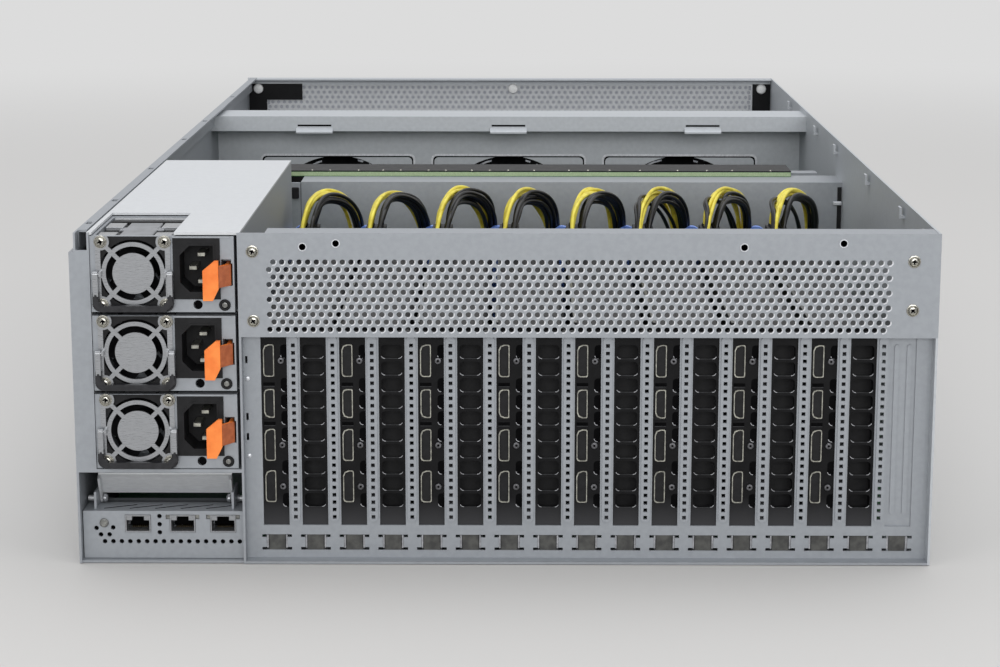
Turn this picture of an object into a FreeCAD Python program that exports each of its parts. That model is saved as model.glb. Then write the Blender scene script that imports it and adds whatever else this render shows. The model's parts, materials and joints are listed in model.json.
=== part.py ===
"""Four-unit rack server for eight double-width graphics cards, shown without its lid.

Frame: X across (left as seen from the rear is -X), Y from the rear (-Y) to the front (+Y),
Z up. The origin is the middle of the floor pan's underside. All lengths are millimetres.
"""
import FreeCAD
import Part
import math
import os

V = FreeCAD.Vector

# ---- chassis envelope -------------------------------------------------------------------
width = 444.0            # body of a 19-inch rack case
depth = 820.0            # rear edge to front panel
height = 175.0           # four rack units less the stacking gap
sheet = 1.2              # galvanised steel sheet
thin_sheet = 0.8         # light brackets and covers
seat_gap = 0.3           # clearance between pieces that lift or slide apart
running_gap = 0.05       # radial clearance of a pin or shaft in its bore
rivet_hole_r = 1.65      # tapped hole for an M4 screw
rail_hole_y = 240.0      # half the spacing of the slide-rail holes along the wall
rail_hole_z = 87.5       # height of the slide rail's middle
rail_hole_rise = 15.0    # half the spacing of the slide-rail holes up the wall
lid_hooks_from_rear = (29, 109, 241, 387, 494)
lid_hook_from_front = 160.0
hook_width = 7.0
hook_reach = 3.0
column_width = 10.5      # rear-facing column of the left wall
lid_flange = 8.0
lid_step = 2.6           # the lid's edge lies in this step of the left wall
lid_step_depth = 10.0
notch_rim = 1.0

# ---- expansion slots --------------------------------------------------------------------
slot_count = 17
slot_pitch = 20.32
slot_field_x = 43.3      # middle of the slot field
rib_width = 6.8
rib_bead_width = 4.8
rib_bead_height = 1.0
slot_recess = 8.0        # slot plane set in from the rear edge
slot_bottom_z = 18.7
slot_ledge_z = 122.2     # shelf that the bracket tabs are screwed to
window_width = 12.6
window_height = 8.4
window_bottom_z = 5.2
window_relief = 1.5
window_ear_depth = 5.0
flange_depth = 12.0

# ---- graphics cards ---------------------------------------------------------------------
card_count = 8
card_length = 267.0
card_width = 38.0
card_bottom_z = 20.5
card_top_z = 127.0
card_chamfer = 3.0
board_thickness = 1.6
finger_length = 85.0
finger_depth = 8.0
blower_radius = 31.0
blower_depth = 7.0
blower_hub_radius = 16.0
blower_from_end = 45.0
exhaust_depth = 12.0
port_width = 5.8
port_height = 17.4
port_set_left = 2.8      # from the slot's middle
port_heights = (106.8, 84.0, 61.8, 39.5)
vent_width = 11.9
vent_height = 7.9
vent_pitch = 8.83
vent_count = 10
vents_from_bottom = 9.4
tongue_width = 10.4
bracket_bottom_z = 4.2

# ---- card power leads -------------------------------------------------------------------
plug_offset_x = -11.0    # plug centre from the card's middle
plug_width = 12.0
plug_length = 34.0
plug_height = 11.0
socket_height = 2.6
plug_from_end = 30.0
lead_diameter = 8.0
lead_sides = 6
header_height = 9.0
holder_width = 9.0
holder_depth = 5.0
holder_knob_r = 6.2

# ---- rear upper panel -------------------------------------------------------------------
panel_screw_r = 2.0
panel_plain_hole_r = 1.7
panel_slot_width = 10.5
panel_slot_height = 17.0
panel_screw_left = 6.5       # from the bay wall
panel_screw_right = 13.5     # from the right wall's outside
panel_screws_below_top = (9.6, 14.3)
panel_screws_above_ledge = (6.4, 12.4)
panel_boss_inset = 12.9
panel_hole_places = ((-102.8, 7.1), (-85.8, 5.3), (122.0, 7.1), (172.4, 5.0))  # x and depth below the top
blank_bead_margin = 6.45
blank_bead_width = 2.4
blank_bead_spread = 3.2
top_flange_start_x = -122.0

# ---- power supplies ---------------------------------------------------------------------
psu_count = 3
psu_width = 73.5
psu_height = 39.4
psu_length = 265.0
psu_pitch = 41.3
psu_left_x = -211.3
psu_face_set_in = 1.0
shelf_top_z = 50.9
shelf_lip = 1.8
rail_width = 5.0
bay_length = 283.0
notch_width = 43.0
notch_depth = 67.0
bay_wall_x = -134.9      # inner face of the wall between supplies and cards
fan_x = 22.0             # fan axis from the supply's left side
fan_z = 20.2             # fan axis above the supply's underside
psu_fan_bore = 18.0
psu_fan_depth = 22.0
psu_shaft_r = 1.5
case_shaft_r = 2.5
guard_size = 38.2
guard_thickness = 1.0
guard_screw = 16.3
guard_ring_outer = 16.2
guard_ring_inner = 14.0
guard_hub_radius = 10.6
guard_spoke = 2.2
guard_ear_r = 4.4
guard_side = 2.6
inlet_x = 54.4           # inlet middle from the supply's left side
inlet_z = 22.6
inlet_width = 24.0
inlet_height = 31.6
inlet_depth = 24.0
socket_width = 17.0
socket_tall = 24.0
socket_depth = 17.0
socket_chamfer = 5.0
bail_width = 41.4
bail_thickness = 3.6
bail_leg = 3.2
bail_pivot_r = 0.9
bail_lug = 1.2
bail_gap = 0.2           # between the folded bail and the guard
latch_x = 62.4           # middle of the thumb plate from the supply's left side
latch_width = 8.0
latch_height = 20.5
latch_reach = 9.0
latch_bottom = 7.5
latch_arm_length = 38.0
latch_arm_spread = 4.4  # the arm slants out this far on its way to the face
latch_arm = 1.8
latch_arm_height = 11.0
latch_room = 2.4         # finger room over the arm
latch_eye_r = 1.9
latch_pin_r = 0.9

# ---- rear input and output module ---------------------------------------------------------
module_left_x = -220.3
module_top_z = 27.0
module_length = 150.0
module_face_set_in = 5.0
jack_x = (-191.7, -168.3, -147.1)
jack_width = 13.6
jack_height = 9.6
jack_bottom_z = 15.4
jack_depth = 16.0
jack_wall = 0.8
button_r = 2.3
handle_height = 15.3
handle_lean = 28.0       # outward from upright, in degrees
handle_from_face = 16.0
ear_inset = 5.3
handle_hem = 2.0
handle_pin_r = 1.5
handle_eye_r = 2.2
handle_set_back = 2.0    # from the pins' axis to the handle plate
handle_pin_z = 29.6
ear_height = 9.0
ear_depth = 20.0

# ---- middle and front structure -----------------------------------------------------------
partition_y = -49.0
partition_top_z = 150.5
partition_flange = 34.0
partition_cut_z = 118.0  # the wall is lower behind the supplies, for their leads
partition_window_width = 76.0
partition_window_height = 80.0
partition_window_z = 24.0
partition_windows = 4
fan_wall_y = 193.0
fan_beam_depth = 40.0
fan_beam_top_z = 171.0
fan_beam_lip = 11.0
fan_tab_height = 4.7
fan_tab_reach = 4.0
fan_tab_width = 27.0
case_fan_count = 3
case_fan_pitch = 130.0
case_fan_size = 120.0
case_fan_depth = 38.0
case_fan_z = 79.0
case_fan_bore = 57.5
case_fan_hub = 20.0
case_fan_blades = 7
case_rotor_set_in = 6.5   # from the frame's rear face
case_rotor_depth = 26.0
case_rotor_bore_depth = 21.0
fan_strut_depth = 4.0
fan_strut_width = 5.0
psu_fan_blades = 5
blade_pitch = 42.0       # degrees between a blade and the fan's plane
front_flange = 12.0
corner_thickness = 1.6
corner_leg = 15.0
corner_arm = 45.0
corner_arm_height = 13.4
corner_from_top = 5.0
corner_from_floor = 20.0

# ---- boards -------------------------------------------------------------------------------
standoff_height = 5.0
standoff_r = 3.0
pcb = 2.0
power_board_width = 380.0
power_board_depth = 32.0
power_board_thickness = 3.0
power_board_set_back = 27.0   # from the partition to the board's edge
main_board_depth = 226.0
main_board_width = 400.0
main_board_set_back = 5.0     # clear of the partition
memory_pitch = 10.0
memory_bank = 4          # modules side by side
memory_edge = 8.0        # from the board's edge to the first module
memory_socket_length = 140.0
memory_socket_width = 6.0
memory_socket_height = 7.0
memory_length = 132.0
memory_height = 26.0     # above its socket
memory_thickness = 1.4
cpu_socket_width = 72.0
cpu_socket_depth = 76.0
cpu_socket_height = 8.0
heat_sink_size = 90.0
heat_sink_base = 6.0
fin_count = 17
fin_pitch = 5.5
fin_thickness = 1.6
fin_height = 50.0

# ---- values that follow from the sizes above ------------------------------------------------
rear_y = -depth / 2
front_y = depth / 2
lid_hook_places = [rear_y + d for d in lid_hooks_from_rear] + [front_y - lid_hook_from_front]
left_x = -width / 2
right_x = width / 2
inner_left = left_x + sheet
inner_right = right_x - sheet
floor_z = sheet
slot_y = rear_y + slot_recess
card_rear_y = slot_y + sheet + thin_sheet
card_front_y = card_rear_y + card_length
tab_top_z = slot_ledge_z + thin_sheet
panel_low_z = slot_ledge_z - sheet   # the vent panel covers the ledge's rear edge
psu_face_y = rear_y + psu_face_set_in
psu_right_x = psu_left_x + psu_width
bay_end_y = rear_y + bay_length
board_z = floor_z + standoff_height
psu_bottoms = [shelf_top_z + seat_gap + psu_pitch * i for i in range(psu_count)]
fan_case_y = fan_wall_y + sheet
button_x = -209.4
button_z = 20.6
module_right_x = bay_wall_x - sheet - seat_gap
module_floor_z = floor_z + seat_gap


def slot_x(index):
    """Middle of a slot; slot 0 is next to the power supplies."""
    return slot_field_x + (index - (slot_count - 1) / 2) * slot_pitch


def card_x(index):
    """Middle of a double-width card."""
    return slot_x(2 * index) + slot_pitch / 2


# ---- small building blocks ------------------------------------------------------------------
def box(x0, x1, y0, y1, z0, z1):
    """Block between two corners."""
    return Part.makeBox(x1 - x0, y1 - y0, z1 - z0, V(x0, y0, z0))


def rod(x, y, z, radius, length, axis="y"):
    """Cylinder that starts at a point and runs along an axis."""
    ways = {"x": V(1, 0, 0), "y": V(0, 1, 0), "z": V(0, 0, 1)}
    return Part.makeCylinder(radius, length, V(x, y, z), ways[axis])


def joined(shapes):
    """One solid out of several that touch or overlap."""
    first, *others = shapes
    return first.fuse(others).removeSplitter() if others else first


def without(shape, cuts):
    """A shape less a list of cutting shapes."""
    return shape.cut(cuts) if cuts else shape


def group(solids):
    """Separate solids that share one node."""
    return Part.makeCompound(solids)


def prism(points, along):
    """Extrude a closed outline of points by a vector."""
    wire = Part.makePolygon([V(*p) for p in points] + [V(*points[0])])
    return Part.Face(wire).extrude(V(*along))


def hex_post(x, y, z, radius, length):
    """Upright hexagonal spacer."""
    corners = [(x + radius * math.cos(k * math.pi / 3), y + radius * math.sin(k * math.pi / 3), z)
               for k in range(6)]
    return prism(corners, (0, 0, length))


def round_slot(x, y, z, w, h, length):
    """Rounded-end upright slot, cut along Y, centred on x and z."""
    r = min(w, h) / 2
    straight = h - 2 * r
    body = [box(x - r, x + r, y, y + length, z - straight / 2, z + straight / 2)] if straight > 0 else []
    ends = [rod(x, y, z + s * straight / 2, r, length) for s in (-1, 1)]
    return joined(body + ends)


def folded(path, thickness, start, along):
    """Folded sheet: a polyline in the (first, second) plane, thickened to its left side.

    start maps (a, b) to a point and along is the extrusion vector.
    """
    count = len(path)
    normals = []
    for (a0, b0), (a1, b1) in zip(path, path[1:]):
        run = math.hypot(a1 - a0, b1 - b0)
        normals.append((-(b1 - b0) / run, (a1 - a0) / run))
    inner = []
    for i, (a, b) in enumerate(path):
        before = normals[max(i - 1, 0)]
        after = normals[min(i, count - 2)]
        scale = thickness / (1 + before[0] * after[0] + before[1] * after[1])
        inner.append((a + scale * (before[0] + after[0]), b + scale * (before[1] + after[1])))
    outline = [start(a, b) for a, b in list(path) + inner[::-1]]
    return prism(outline, along)


# ---- chassis sheets -------------------------------------------------------------------------
def floor_pan():
    """Floor sheet with an upturned front edge; the side walls stand on it."""
    edge = front_y - sheet - seat_gap
    path = [(rear_y, 0), (edge, 0), (edge, flange_depth)]
    pan = folded(path, sheet, lambda y, z: (inner_left, y, z), (inner_right - inner_left, 0, 0))
    corner = box(inner_left - 1, bay_wall_x, rear_y - 1, rear_y + sheet, -1, sheet + 1)
    lances = [round_slot(x, rear_y + 6, 0, 6, 1.2, 3) for x in (-178, -150)]
    return without(pan, [corner] + lances)


def lid_hooks(x, side):
    """Bent tabs along a wall's top that hold the lid; side is the way they point."""
    hooks = []
    for y in lid_hook_places:
        foot = [x, x + side * hook_reach]
        tip = [x + side * (hook_reach - sheet), x + side * hook_reach]
        hooks.append(box(min(foot), max(foot), y, y + hook_width, height - 9, height - 9 + sheet))
        hooks.append(box(min(tip), max(tip), y, y + hook_width, height - 9, height - 3))
    return hooks


def rail_holes(x):
    """Four tapped holes for a slide rail."""
    heights = (rail_hole_z - rail_hole_rise, rail_hole_z + rail_hole_rise)
    return [rod(x - 1, y, z, rivet_hole_r, sheet + 2, "x")
            for y in (-rail_hole_y, rail_hole_y) for z in heights]


def side_wall_right():
    """Right wall with its lid hooks and slide-rail holes."""
    wall = box(inner_right, right_x, rear_y, front_y - sheet, 0, height)
    wall = joined([wall] + lid_hooks(inner_right, -1))
    panel_room = box(inner_right - 1, right_x + 1, rear_y - 1, rear_y + sheet, panel_low_z, height + 1)
    return without(wall, [panel_room] + rail_holes(inner_right))


def lid_step_room(y0, y1):
    """Space that the left wall's step takes from a piece that reaches that wall."""
    return box(left_x, inner_left + lid_step, y0 - 1, y1 + 1, height - lid_step_depth - sheet, height)


def side_wall_left():
    """Left wall, stepped in along its top for the lid's edge, with a top flange and a rear column."""
    step_z = height - lid_step_depth
    path = [(left_x, 0), (left_x, step_z), (left_x + lid_step, step_z), (left_x + lid_step, height),
            (left_x + lid_flange, height)]
    wall = folded(path, -sheet, lambda x, z: (x, rear_y, z), (0, depth - sheet, 0))
    column = box(left_x, left_x + column_width, rear_y, rear_y + sheet, shelf_top_z, step_z)
    corner = box(left_x + lid_step, left_x + column_width, rear_y, rear_y + sheet, step_z - sheet, height)
    notch = box(left_x + lid_step + notch_rim, left_x + column_width - notch_rim, rear_y - 1,
                rear_y + lid_step_depth, step_z + notch_rim, height + 1)
    slots = [box(left_x + lid_step + sheet, left_x + lid_flange - sheet, y, y + hook_width,
                 height - 3, height + 1)
             for y in lid_hook_places]
    wall = joined([wall, column, corner])
    return without(wall, [notch] + slots + rail_holes(left_x))


def rear_slot_frame():
    """Slot frame: ribs between 17 openings, a screw ledge and a row of lanced windows.

    This is the feature that takes the most skill: every rib carries a rounded embossed bead,
    every window has relief corners and two bent ears that guide a bracket's tongue.
    """
    x0, x1 = bay_wall_x, inner_right
    path = [(rear_y + sheet, slot_ledge_z), (slot_y + sheet, slot_ledge_z), (slot_y + sheet, floor_z)]
    frame = folded(path, -sheet, lambda y, z: (x0, y, z), (x1 - x0, 0, 0))
    foot = box(x0, x1, slot_y, slot_y + flange_depth, floor_z, floor_z + sheet)
    opening_half = (slot_pitch - rib_width) / 2
    cuts = []
    ears = []
    window_top = window_bottom_z + window_height
    for i in range(slot_count):
        x = slot_x(i)
        cuts.append(box(x - opening_half, x + opening_half, slot_y - 1, slot_y + sheet + 1,
                        slot_bottom_z, slot_ledge_z - sheet))
        cuts.append(box(x - window_width / 2, x + window_width / 2, slot_y - 1, slot_y + sheet + 1,
                        window_bottom_z, window_top))
        for z in (window_bottom_z, window_top - window_relief):
            cuts.append(box(x - window_width / 2 - window_relief, x + window_width / 2 + window_relief,
                            slot_y - 1, slot_y + sheet + 1, z, z + window_relief))
        for side in (-1, 1):
            near, far = sorted((x + side * window_width / 2, x + side * (window_width / 2 - thin_sheet)))
            ears.append(box(near, far, slot_y, slot_y + sheet + window_ear_depth,
                            window_bottom_z + window_relief, window_top - window_relief))
    frame = without(joined([frame, foot]), cuts)
    bead_length = slot_ledge_z - slot_bottom_z - 3
    beads = []
    for i in range(slot_count - 1):
        x = slot_x(i) + slot_pitch / 2
        z = slot_bottom_z + 1.5 + bead_length / 2
        beads.append(round_slot(x, slot_y - rib_bead_height, z, rib_bead_width,
                                bead_length - sheet, rib_bead_height))
    return joined([frame] + beads + ears)


def slot_blank_plate():
    """Cover of the last slot, with two pressed channels and a screw tab."""
    x = slot_x(slot_count - 1)
    half = 9.2
    y0 = slot_y + sheet
    plate = box(x - half, x + half, y0, y0 + thin_sheet, slot_bottom_z - 5, tab_top_z)
    tab = box(x - half, x + half, rear_y + 2 * sheet, y0 + thin_sheet, slot_ledge_z, tab_top_z)
    tongue = box(x - tongue_width / 2, x + tongue_width / 2, y0, y0 + thin_sheet,
                 bracket_bottom_z, slot_bottom_z)
    middle = (slot_bottom_z + slot_ledge_z) / 2
    bead_length = slot_ledge_z - slot_bottom_z - 2 * blank_bead_margin
    beads = [round_slot(x + side * blank_bead_spread, y0 - thin_sheet, middle, blank_bead_width, bead_length,
                        thin_sheet) for side in (-1, 1)]
    return joined([plate, tab, tongue] + beads)


def rear_vent_panel():
    """Upper rear panel, bent inward along its top, with a pressed boss."""
    x0, x1 = bay_wall_x - sheet, right_x
    path = [(rear_y + 16, height), (rear_y, height), (rear_y, panel_low_z)]
    panel = folded(path, sheet, lambda y, z: (x0, y, z), (x1 - x0, 0, 0))
    inside = rear_y + sheet
    cuts = [box(x0 - 1, top_flange_start_x, inside, rear_y + 20, height - sheet - 1, height + 1),
            box(inner_right - seat_gap, x1 + 1, inside, rear_y + 20, height - sheet - 1, height + 1)]
    columns = (bay_wall_x + panel_screw_left, right_x - panel_screw_right)
    for x, below, above in zip(columns, panel_screws_below_top, panel_screws_above_ledge):
        cuts += [rod(x, rear_y - 1, z, panel_screw_r, sheet + 2) for z in (height - below, tab_top_z + above)]
    cuts += [rod(x, rear_y - 1, height - below, panel_plain_hole_r, sheet + 2)
             for x, below in panel_hole_places]
    boss = round_slot(right_x - panel_boss_inset, inside, (height + tab_top_z) / 2, panel_slot_width,
                      panel_slot_height, 0.6)
    return joined([without(panel, cuts), boss])


# ---- power supply bay -----------------------------------------------------------------------
def psu_rails(x0, x1):
    """Lanced rails that carry the supplies above the lowest one."""
    return [box(x0, x1, rear_y + 12, bay_end_y - 8, z - seat_gap - sheet, z - seat_gap)
            for z in psu_bottoms[1:]]


def psu_bay_wall():
    """Wall between the supplies and the cards, full height, with lanced rails."""
    wall = box(bay_wall_x - sheet, bay_wall_x, rear_y + sheet, bay_end_y, floor_z, height - sheet)
    front_lip = box(bay_wall_x - sheet, bay_wall_x, rear_y, rear_y + sheet, 0, panel_low_z)
    return joined([wall, front_lip] + psu_rails(bay_wall_x - sheet - rail_width, bay_wall_x - sheet / 2))


def psu_bay_cover():
    """Top cover and left wall of the supply bay, notched over the upper supply's fan."""
    x0 = psu_left_x - seat_gap - sheet
    path = [(x0, shelf_top_z), (x0, height), (bay_wall_x, height)]
    cover = folded(path, -sheet, lambda x, z: (x, rear_y + sheet, z), (0, bay_length - sheet, 0))
    notch = box(psu_left_x + 1, psu_left_x + notch_width, rear_y - 1, rear_y + notch_depth,
                height - 2 * sheet, height + 1)
    return joined([cover.cut(notch)] + psu_rails(x0 + sheet / 2, x0 + sheet + rail_width))


def psu_shelf():
    """Shelf below the supplies, turned down along its rear edge."""
    z = shelf_top_z
    path = [(rear_y, z - shelf_lip), (rear_y, z), (bay_end_y, z)]
    return folded(path, -sheet, lambda y, h: (inner_left, y, h), (bay_wall_x - sheet - inner_left, 0, 0))


def latch_right(z):
    """Right edge of the latch's thumb plate and the height where its arm starts."""
    return psu_left_x + latch_x + latch_width / 2, z + latch_bottom + 6.5


def latch_pin():
    """Place of the upright pin at the inner end of the latch's arm."""
    return (psu_left_x + latch_x + latch_width / 2 + latch_arm_spread - latch_arm / 2,
            psu_face_y - 1 + latch_arm_length)


def psu_case(z):
    """Sheet-metal case of a supply: fan bore with its shaft, inlet and latch pockets, lamp, edge card."""
    x, y = psu_left_x, psu_face_y
    case = box(x, psu_right_x, y, y + psu_length, z, z + psu_height)
    fx, fz = x + fan_x, z + fan_z
    ix, iz = x + inlet_x, z + inlet_z
    inlet_right = ix + inlet_width / 2
    arm_z = latch_right(z)[1]
    cuts = [rod(fx, y - 1, fz, psu_fan_bore, psu_fan_depth + 1),
            box(ix - inlet_width / 2, inlet_right, y - 1, y + inlet_depth, iz - inlet_height / 2,
                iz + inlet_height / 2),
            rod(ix + 0.2, y - 1, z + 3.9, 2.4, 6),
            box(inlet_right + 0.5, psu_right_x - 0.8, y - 1, y + latch_arm_length + 3, arm_z - seat_gap,
                arm_z + latch_arm_height + seat_gap),
            box(inlet_right + 0.5, psu_right_x - 1.5, y - 1, y + 8,
                arm_z, arm_z + latch_arm_height + latch_room)]
    shaft = rod(fx, y + 6, fz, psu_shaft_r, psu_fan_depth - 6)
    mount = rod(fx, y + psu_fan_depth - 3, fz, 8.0, 3)
    lamp = rod(x + 68.4, y - 0.5, z + 3.8, 2.8, 1.5)
    pin_x, pin_y = latch_pin()
    latch_pin_post = rod(pin_x, pin_y, arm_z - sheet, latch_pin_r, latch_arm_height + 2 * sheet, "z")
    hem = box(ix - inlet_width / 2, psu_right_x - 2, y - 0.6, y + 1, z + psu_height - 0.9, z + psu_height)
    edge_card = box(x + 12, x + 60, y + psu_length, y + psu_length + 9, z + 8, z + 8 + board_thickness)
    return joined([without(case, cuts), shaft, mount, lamp, hem, edge_card, latch_pin_post])


def finger_guard(z):
    """Stamped fan guard: hub disc, four spokes, ring and four screw ears."""
    x, zc = psu_left_x + fan_x, z + fan_z
    y = psu_face_y - guard_thickness
    t = guard_thickness
    ring = rod(x, y, zc, guard_ring_outer, t).cut(rod(x, y, zc, guard_ring_inner, t))
    hub = rod(x, y, zc, guard_hub_radius, t)
    spokes = []
    reach = guard_screw * math.sqrt(2)
    for turn in (45, 135):
        bar = box(x - reach, x + reach, y, y + t, zc - guard_spoke / 2, zc + guard_spoke / 2)
        bar.rotate(V(x, y, zc), V(0, 1, 0), turn)
        spokes.append(bar)
    half = guard_size / 2
    ears = []
    for sx in (-1, 1):
        for sz in (-1, 1):
            ears.append(rod(x + sx * guard_screw, y, zc + sz * guard_screw, guard_ear_r, t))
        strip = [x + sx * half, x + sx * (half - guard_side)]
        ears.append(box(min(strip), max(strip), y, y + t, zc - guard_screw, zc + guard_screw))
    guard = joined([ring, hub] + spokes + ears)
    edge = box(x - half, x + half, y - 1, y + t + 1, zc - half, zc + half)
    return joined([guard.common(edge)] + bail_lugs(x, zc))


def bail_lugs(x, zc):
    """Lugs bent out of the guard's sides, each with a pin that a leg of the bail turns on."""
    y = bail_pivot_y()
    root = psu_face_y - guard_thickness
    lugs = []
    for side in (-1, 1):
        inner = x + side * (bail_width / 2 - bail_leg - seat_gap)
        near, far = sorted((inner, inner - side * bail_lug))
        lugs.append(box(near, far, y - bail_lug, root + guard_thickness / 2, zc - bail_lug, zc + bail_lug))
        base = sorted((inner - side * bail_lug, inner + side * bail_lug))
        lugs.append(box(base[0], base[1], root, root + guard_thickness, zc - 2 * bail_lug, zc + 2 * bail_lug))
        pin = sorted((inner - side * bail_lug / 2, inner + side * bail_leg))
        lugs.append(rod(pin[0], y, zc, bail_pivot_r, pin[1] - pin[0], "x"))
    return lugs


def mains_inlet(z):
    """Mains inlet: a moulded block with a chamfered socket and three pins."""
    x, zc = psu_left_x + inlet_x, z + inlet_z
    y = psu_face_y - 0.8
    block = box(x - inlet_width / 2, x + inlet_width / 2, y, y + inlet_depth, zc - inlet_height / 2,
                zc + inlet_height / 2)
    w, h, c = socket_width / 2, socket_tall / 2, socket_chamfer
    outline = [(x - w, y, zc - h + c), (x - w + c, y, zc - h), (x + w, y, zc - h), (x + w, y, zc + h),
               (x - w + c, y, zc + h), (x - w, y, zc + h - c)]
    socket = prism(outline, (0, socket_depth, 0))
    pins = [box(x + px - 2, x + px + 2, y + 3, y + socket_depth, zc + pz - 1, zc + pz + 1)
            for px, pz in ((2.2, 7.0), (2.2, -7.0), (-2.2, 0.0))]
    return joined([block.cut(socket)] + pins)


def bail_pivot_y():
    """The bail's pins stand just off the guard's face."""
    return psu_face_y - guard_thickness - bail_thickness / 2 - bail_gap


def psu_bail(z):
    """U-shaped pull bail with rounded corners, folded down over the guard's lower half."""
    x, zc = psu_left_x + fan_x, z + fan_z
    y = bail_pivot_y() - bail_thickness / 2
    low = z + 0.8
    outer = box(x - bail_width / 2, x + bail_width / 2, y, y + bail_thickness, low, zc)
    corners = [e for e in outer.Edges
               if e.BoundBox.ZMax < low + 0.01 and e.BoundBox.YLength > bail_thickness / 2]
    outer = outer.makeFillet(bail_leg + 0.6, corners)
    inner = box(x - bail_width / 2 + bail_leg, x + bail_width / 2 - bail_leg, y - 1, y + bail_thickness + 1,
                low + bail_leg, zc + 3)
    eyes = rod(x - bail_width / 2, bail_pivot_y(), zc, bail_thickness / 2, bail_width, "x")
    bore = rod(x - bail_width, bail_pivot_y(), zc, bail_pivot_r + running_gap, 2 * bail_width, "x")
    return without(joined([outer, eyes]), [inner, bore])


def psu_latch(z):
    """Release latch: a bevelled thumb plate on an arm that slants into the supply."""
    x1, arm_low = latch_right(z)
    x0 = x1 - latch_width
    low = z + latch_bottom
    high = low + latch_height
    y = psu_face_y - latch_reach
    face = psu_face_y - 1
    thumb = prism([(x0, y, low), (x0 + 5, y, low), (x1, y, low + 6), (x1, y, high), (x1 - 2, y, high),
                   (x0, y, high - 5)], (0, 2.4, 0))
    out = x1 + latch_arm_spread
    arm = prism([(x1 - latch_arm, y + 1, arm_low), (x1, y + 1, arm_low), (out, face, arm_low),
                 (out, face + latch_arm_length, arm_low), (out - latch_arm, face + latch_arm_length, arm_low),
                 (out - latch_arm, face, arm_low)], (0, 0, latch_arm_height))
    pin_x, pin_y = latch_pin()
    eye = rod(pin_x, pin_y, arm_low, latch_eye_r, latch_arm_height, "z")
    bore = rod(pin_x, pin_y, arm_low - 1, latch_pin_r + running_gap, latch_arm_height + 2, "z")
    return joined([thumb, arm, eye]).cut(bore)


# ---- fans -----------------------------------------------------------------------------------
def fan_blade(hub_r, tip_r, depth, pitch, camber, thickness):
    """Cambered blade: an arc section set at a pitch angle and extruded from the hub outward."""
    chord = depth / math.sin(math.radians(pitch))
    outer = Part.Arc(V(-chord / 2, 0, 0), V(0, camber + thickness, 0), V(chord / 2, 0, 0)).toShape()
    inner = Part.Arc(V(-chord / 2, 0, 0), V(0, camber, 0), V(chord / 2, 0, 0)).toShape()
    blade = Part.Face(Part.Wire([outer, inner])).extrude(V(0, 0, tip_r - hub_r + 2))
    blade.rotate(V(0, 0, 0), V(0, 0, 1), pitch)
    blade.translate(V(0, 0, hub_r - 1))
    return blade


def fan_rotor(x, y, z, tip_r, hub_r, depth, blades, bore_r, bore_depth):
    """Fan rotor whose blind hub bore runs on the frame's shaft; its rear face lies at y."""
    room = rod(0, 0, 0, tip_r, depth)
    wheel = [rod(0, 0, 0, hub_r, depth)]
    for i in range(blades):
        blade = fan_blade(hub_r, tip_r, depth * 0.9, blade_pitch, hub_r * 0.16, hub_r * 0.07)
        blade.translate(V(0, depth / 2, 0))
        blade.rotate(V(0, 0, 0), V(0, 1, 0), i * 360 / blades)
        wheel.append(blade.common(room))
    wheel = joined(wheel).cut(rod(0, depth - bore_depth, 0, bore_r, bore_depth + 1))
    wheel.translate(V(x, y, z))
    return wheel


def psu_fan_rotor(z):
    """Rotor of a supply's fan."""
    return fan_rotor(psu_left_x + fan_x, psu_face_y + 3, z + fan_z, psu_fan_bore - 0.9, 9.0, 15,
                     psu_fan_blades, psu_shaft_r + running_gap, 12.2)


def case_fan_x(index):
    """Axis of a case fan."""
    return (index - (case_fan_count - 1) / 2) * case_fan_pitch


def case_fan_frame(index):
    """Moulded fan frame with four struts that carry the motor base and the shaft."""
    x, y = case_fan_x(index), fan_case_y
    half = case_fan_size / 2
    frame = box(x - half, x + half, y, y + case_fan_depth, case_fan_z - half, case_fan_z + half)
    posts = [e for e in frame.Edges if e.BoundBox.YLength > case_fan_depth - 0.1]
    frame = frame.makeFillet(5, posts)
    frame = frame.cut(rod(x, y - 1, case_fan_z, case_fan_bore, case_fan_depth + 2))
    back = y + case_fan_depth - fan_strut_depth
    struts = []
    for turn in (0, 90):
        strut = box(x - case_fan_bore - 1, x + case_fan_bore + 1, back, back + fan_strut_depth,
                    case_fan_z - fan_strut_width / 2, case_fan_z + fan_strut_width / 2)
        strut.rotate(V(x, back, case_fan_z), V(0, 1, 0), turn + 22)
        struts.append(strut)
    base = rod(x, back, case_fan_z, case_fan_hub + 2, fan_strut_depth)
    shaft = rod(x, y + 12, case_fan_z, case_shaft_r, case_fan_depth - 12)
    return joined([frame, base, shaft] + struts)


def case_fan_rotor(index):
    """Rotor of a case fan."""
    return fan_rotor(case_fan_x(index), fan_case_y + case_rotor_set_in, case_fan_z, case_fan_bore - 1.5,
                     case_fan_hub, case_rotor_depth, case_fan_blades, case_shaft_r + running_gap,
                     case_rotor_bore_depth)


# ---- input and output module ----------------------------------------------------------------
def module_face_y():
    """Outer face of the module's face plate."""
    return rear_y + module_face_set_in


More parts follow.
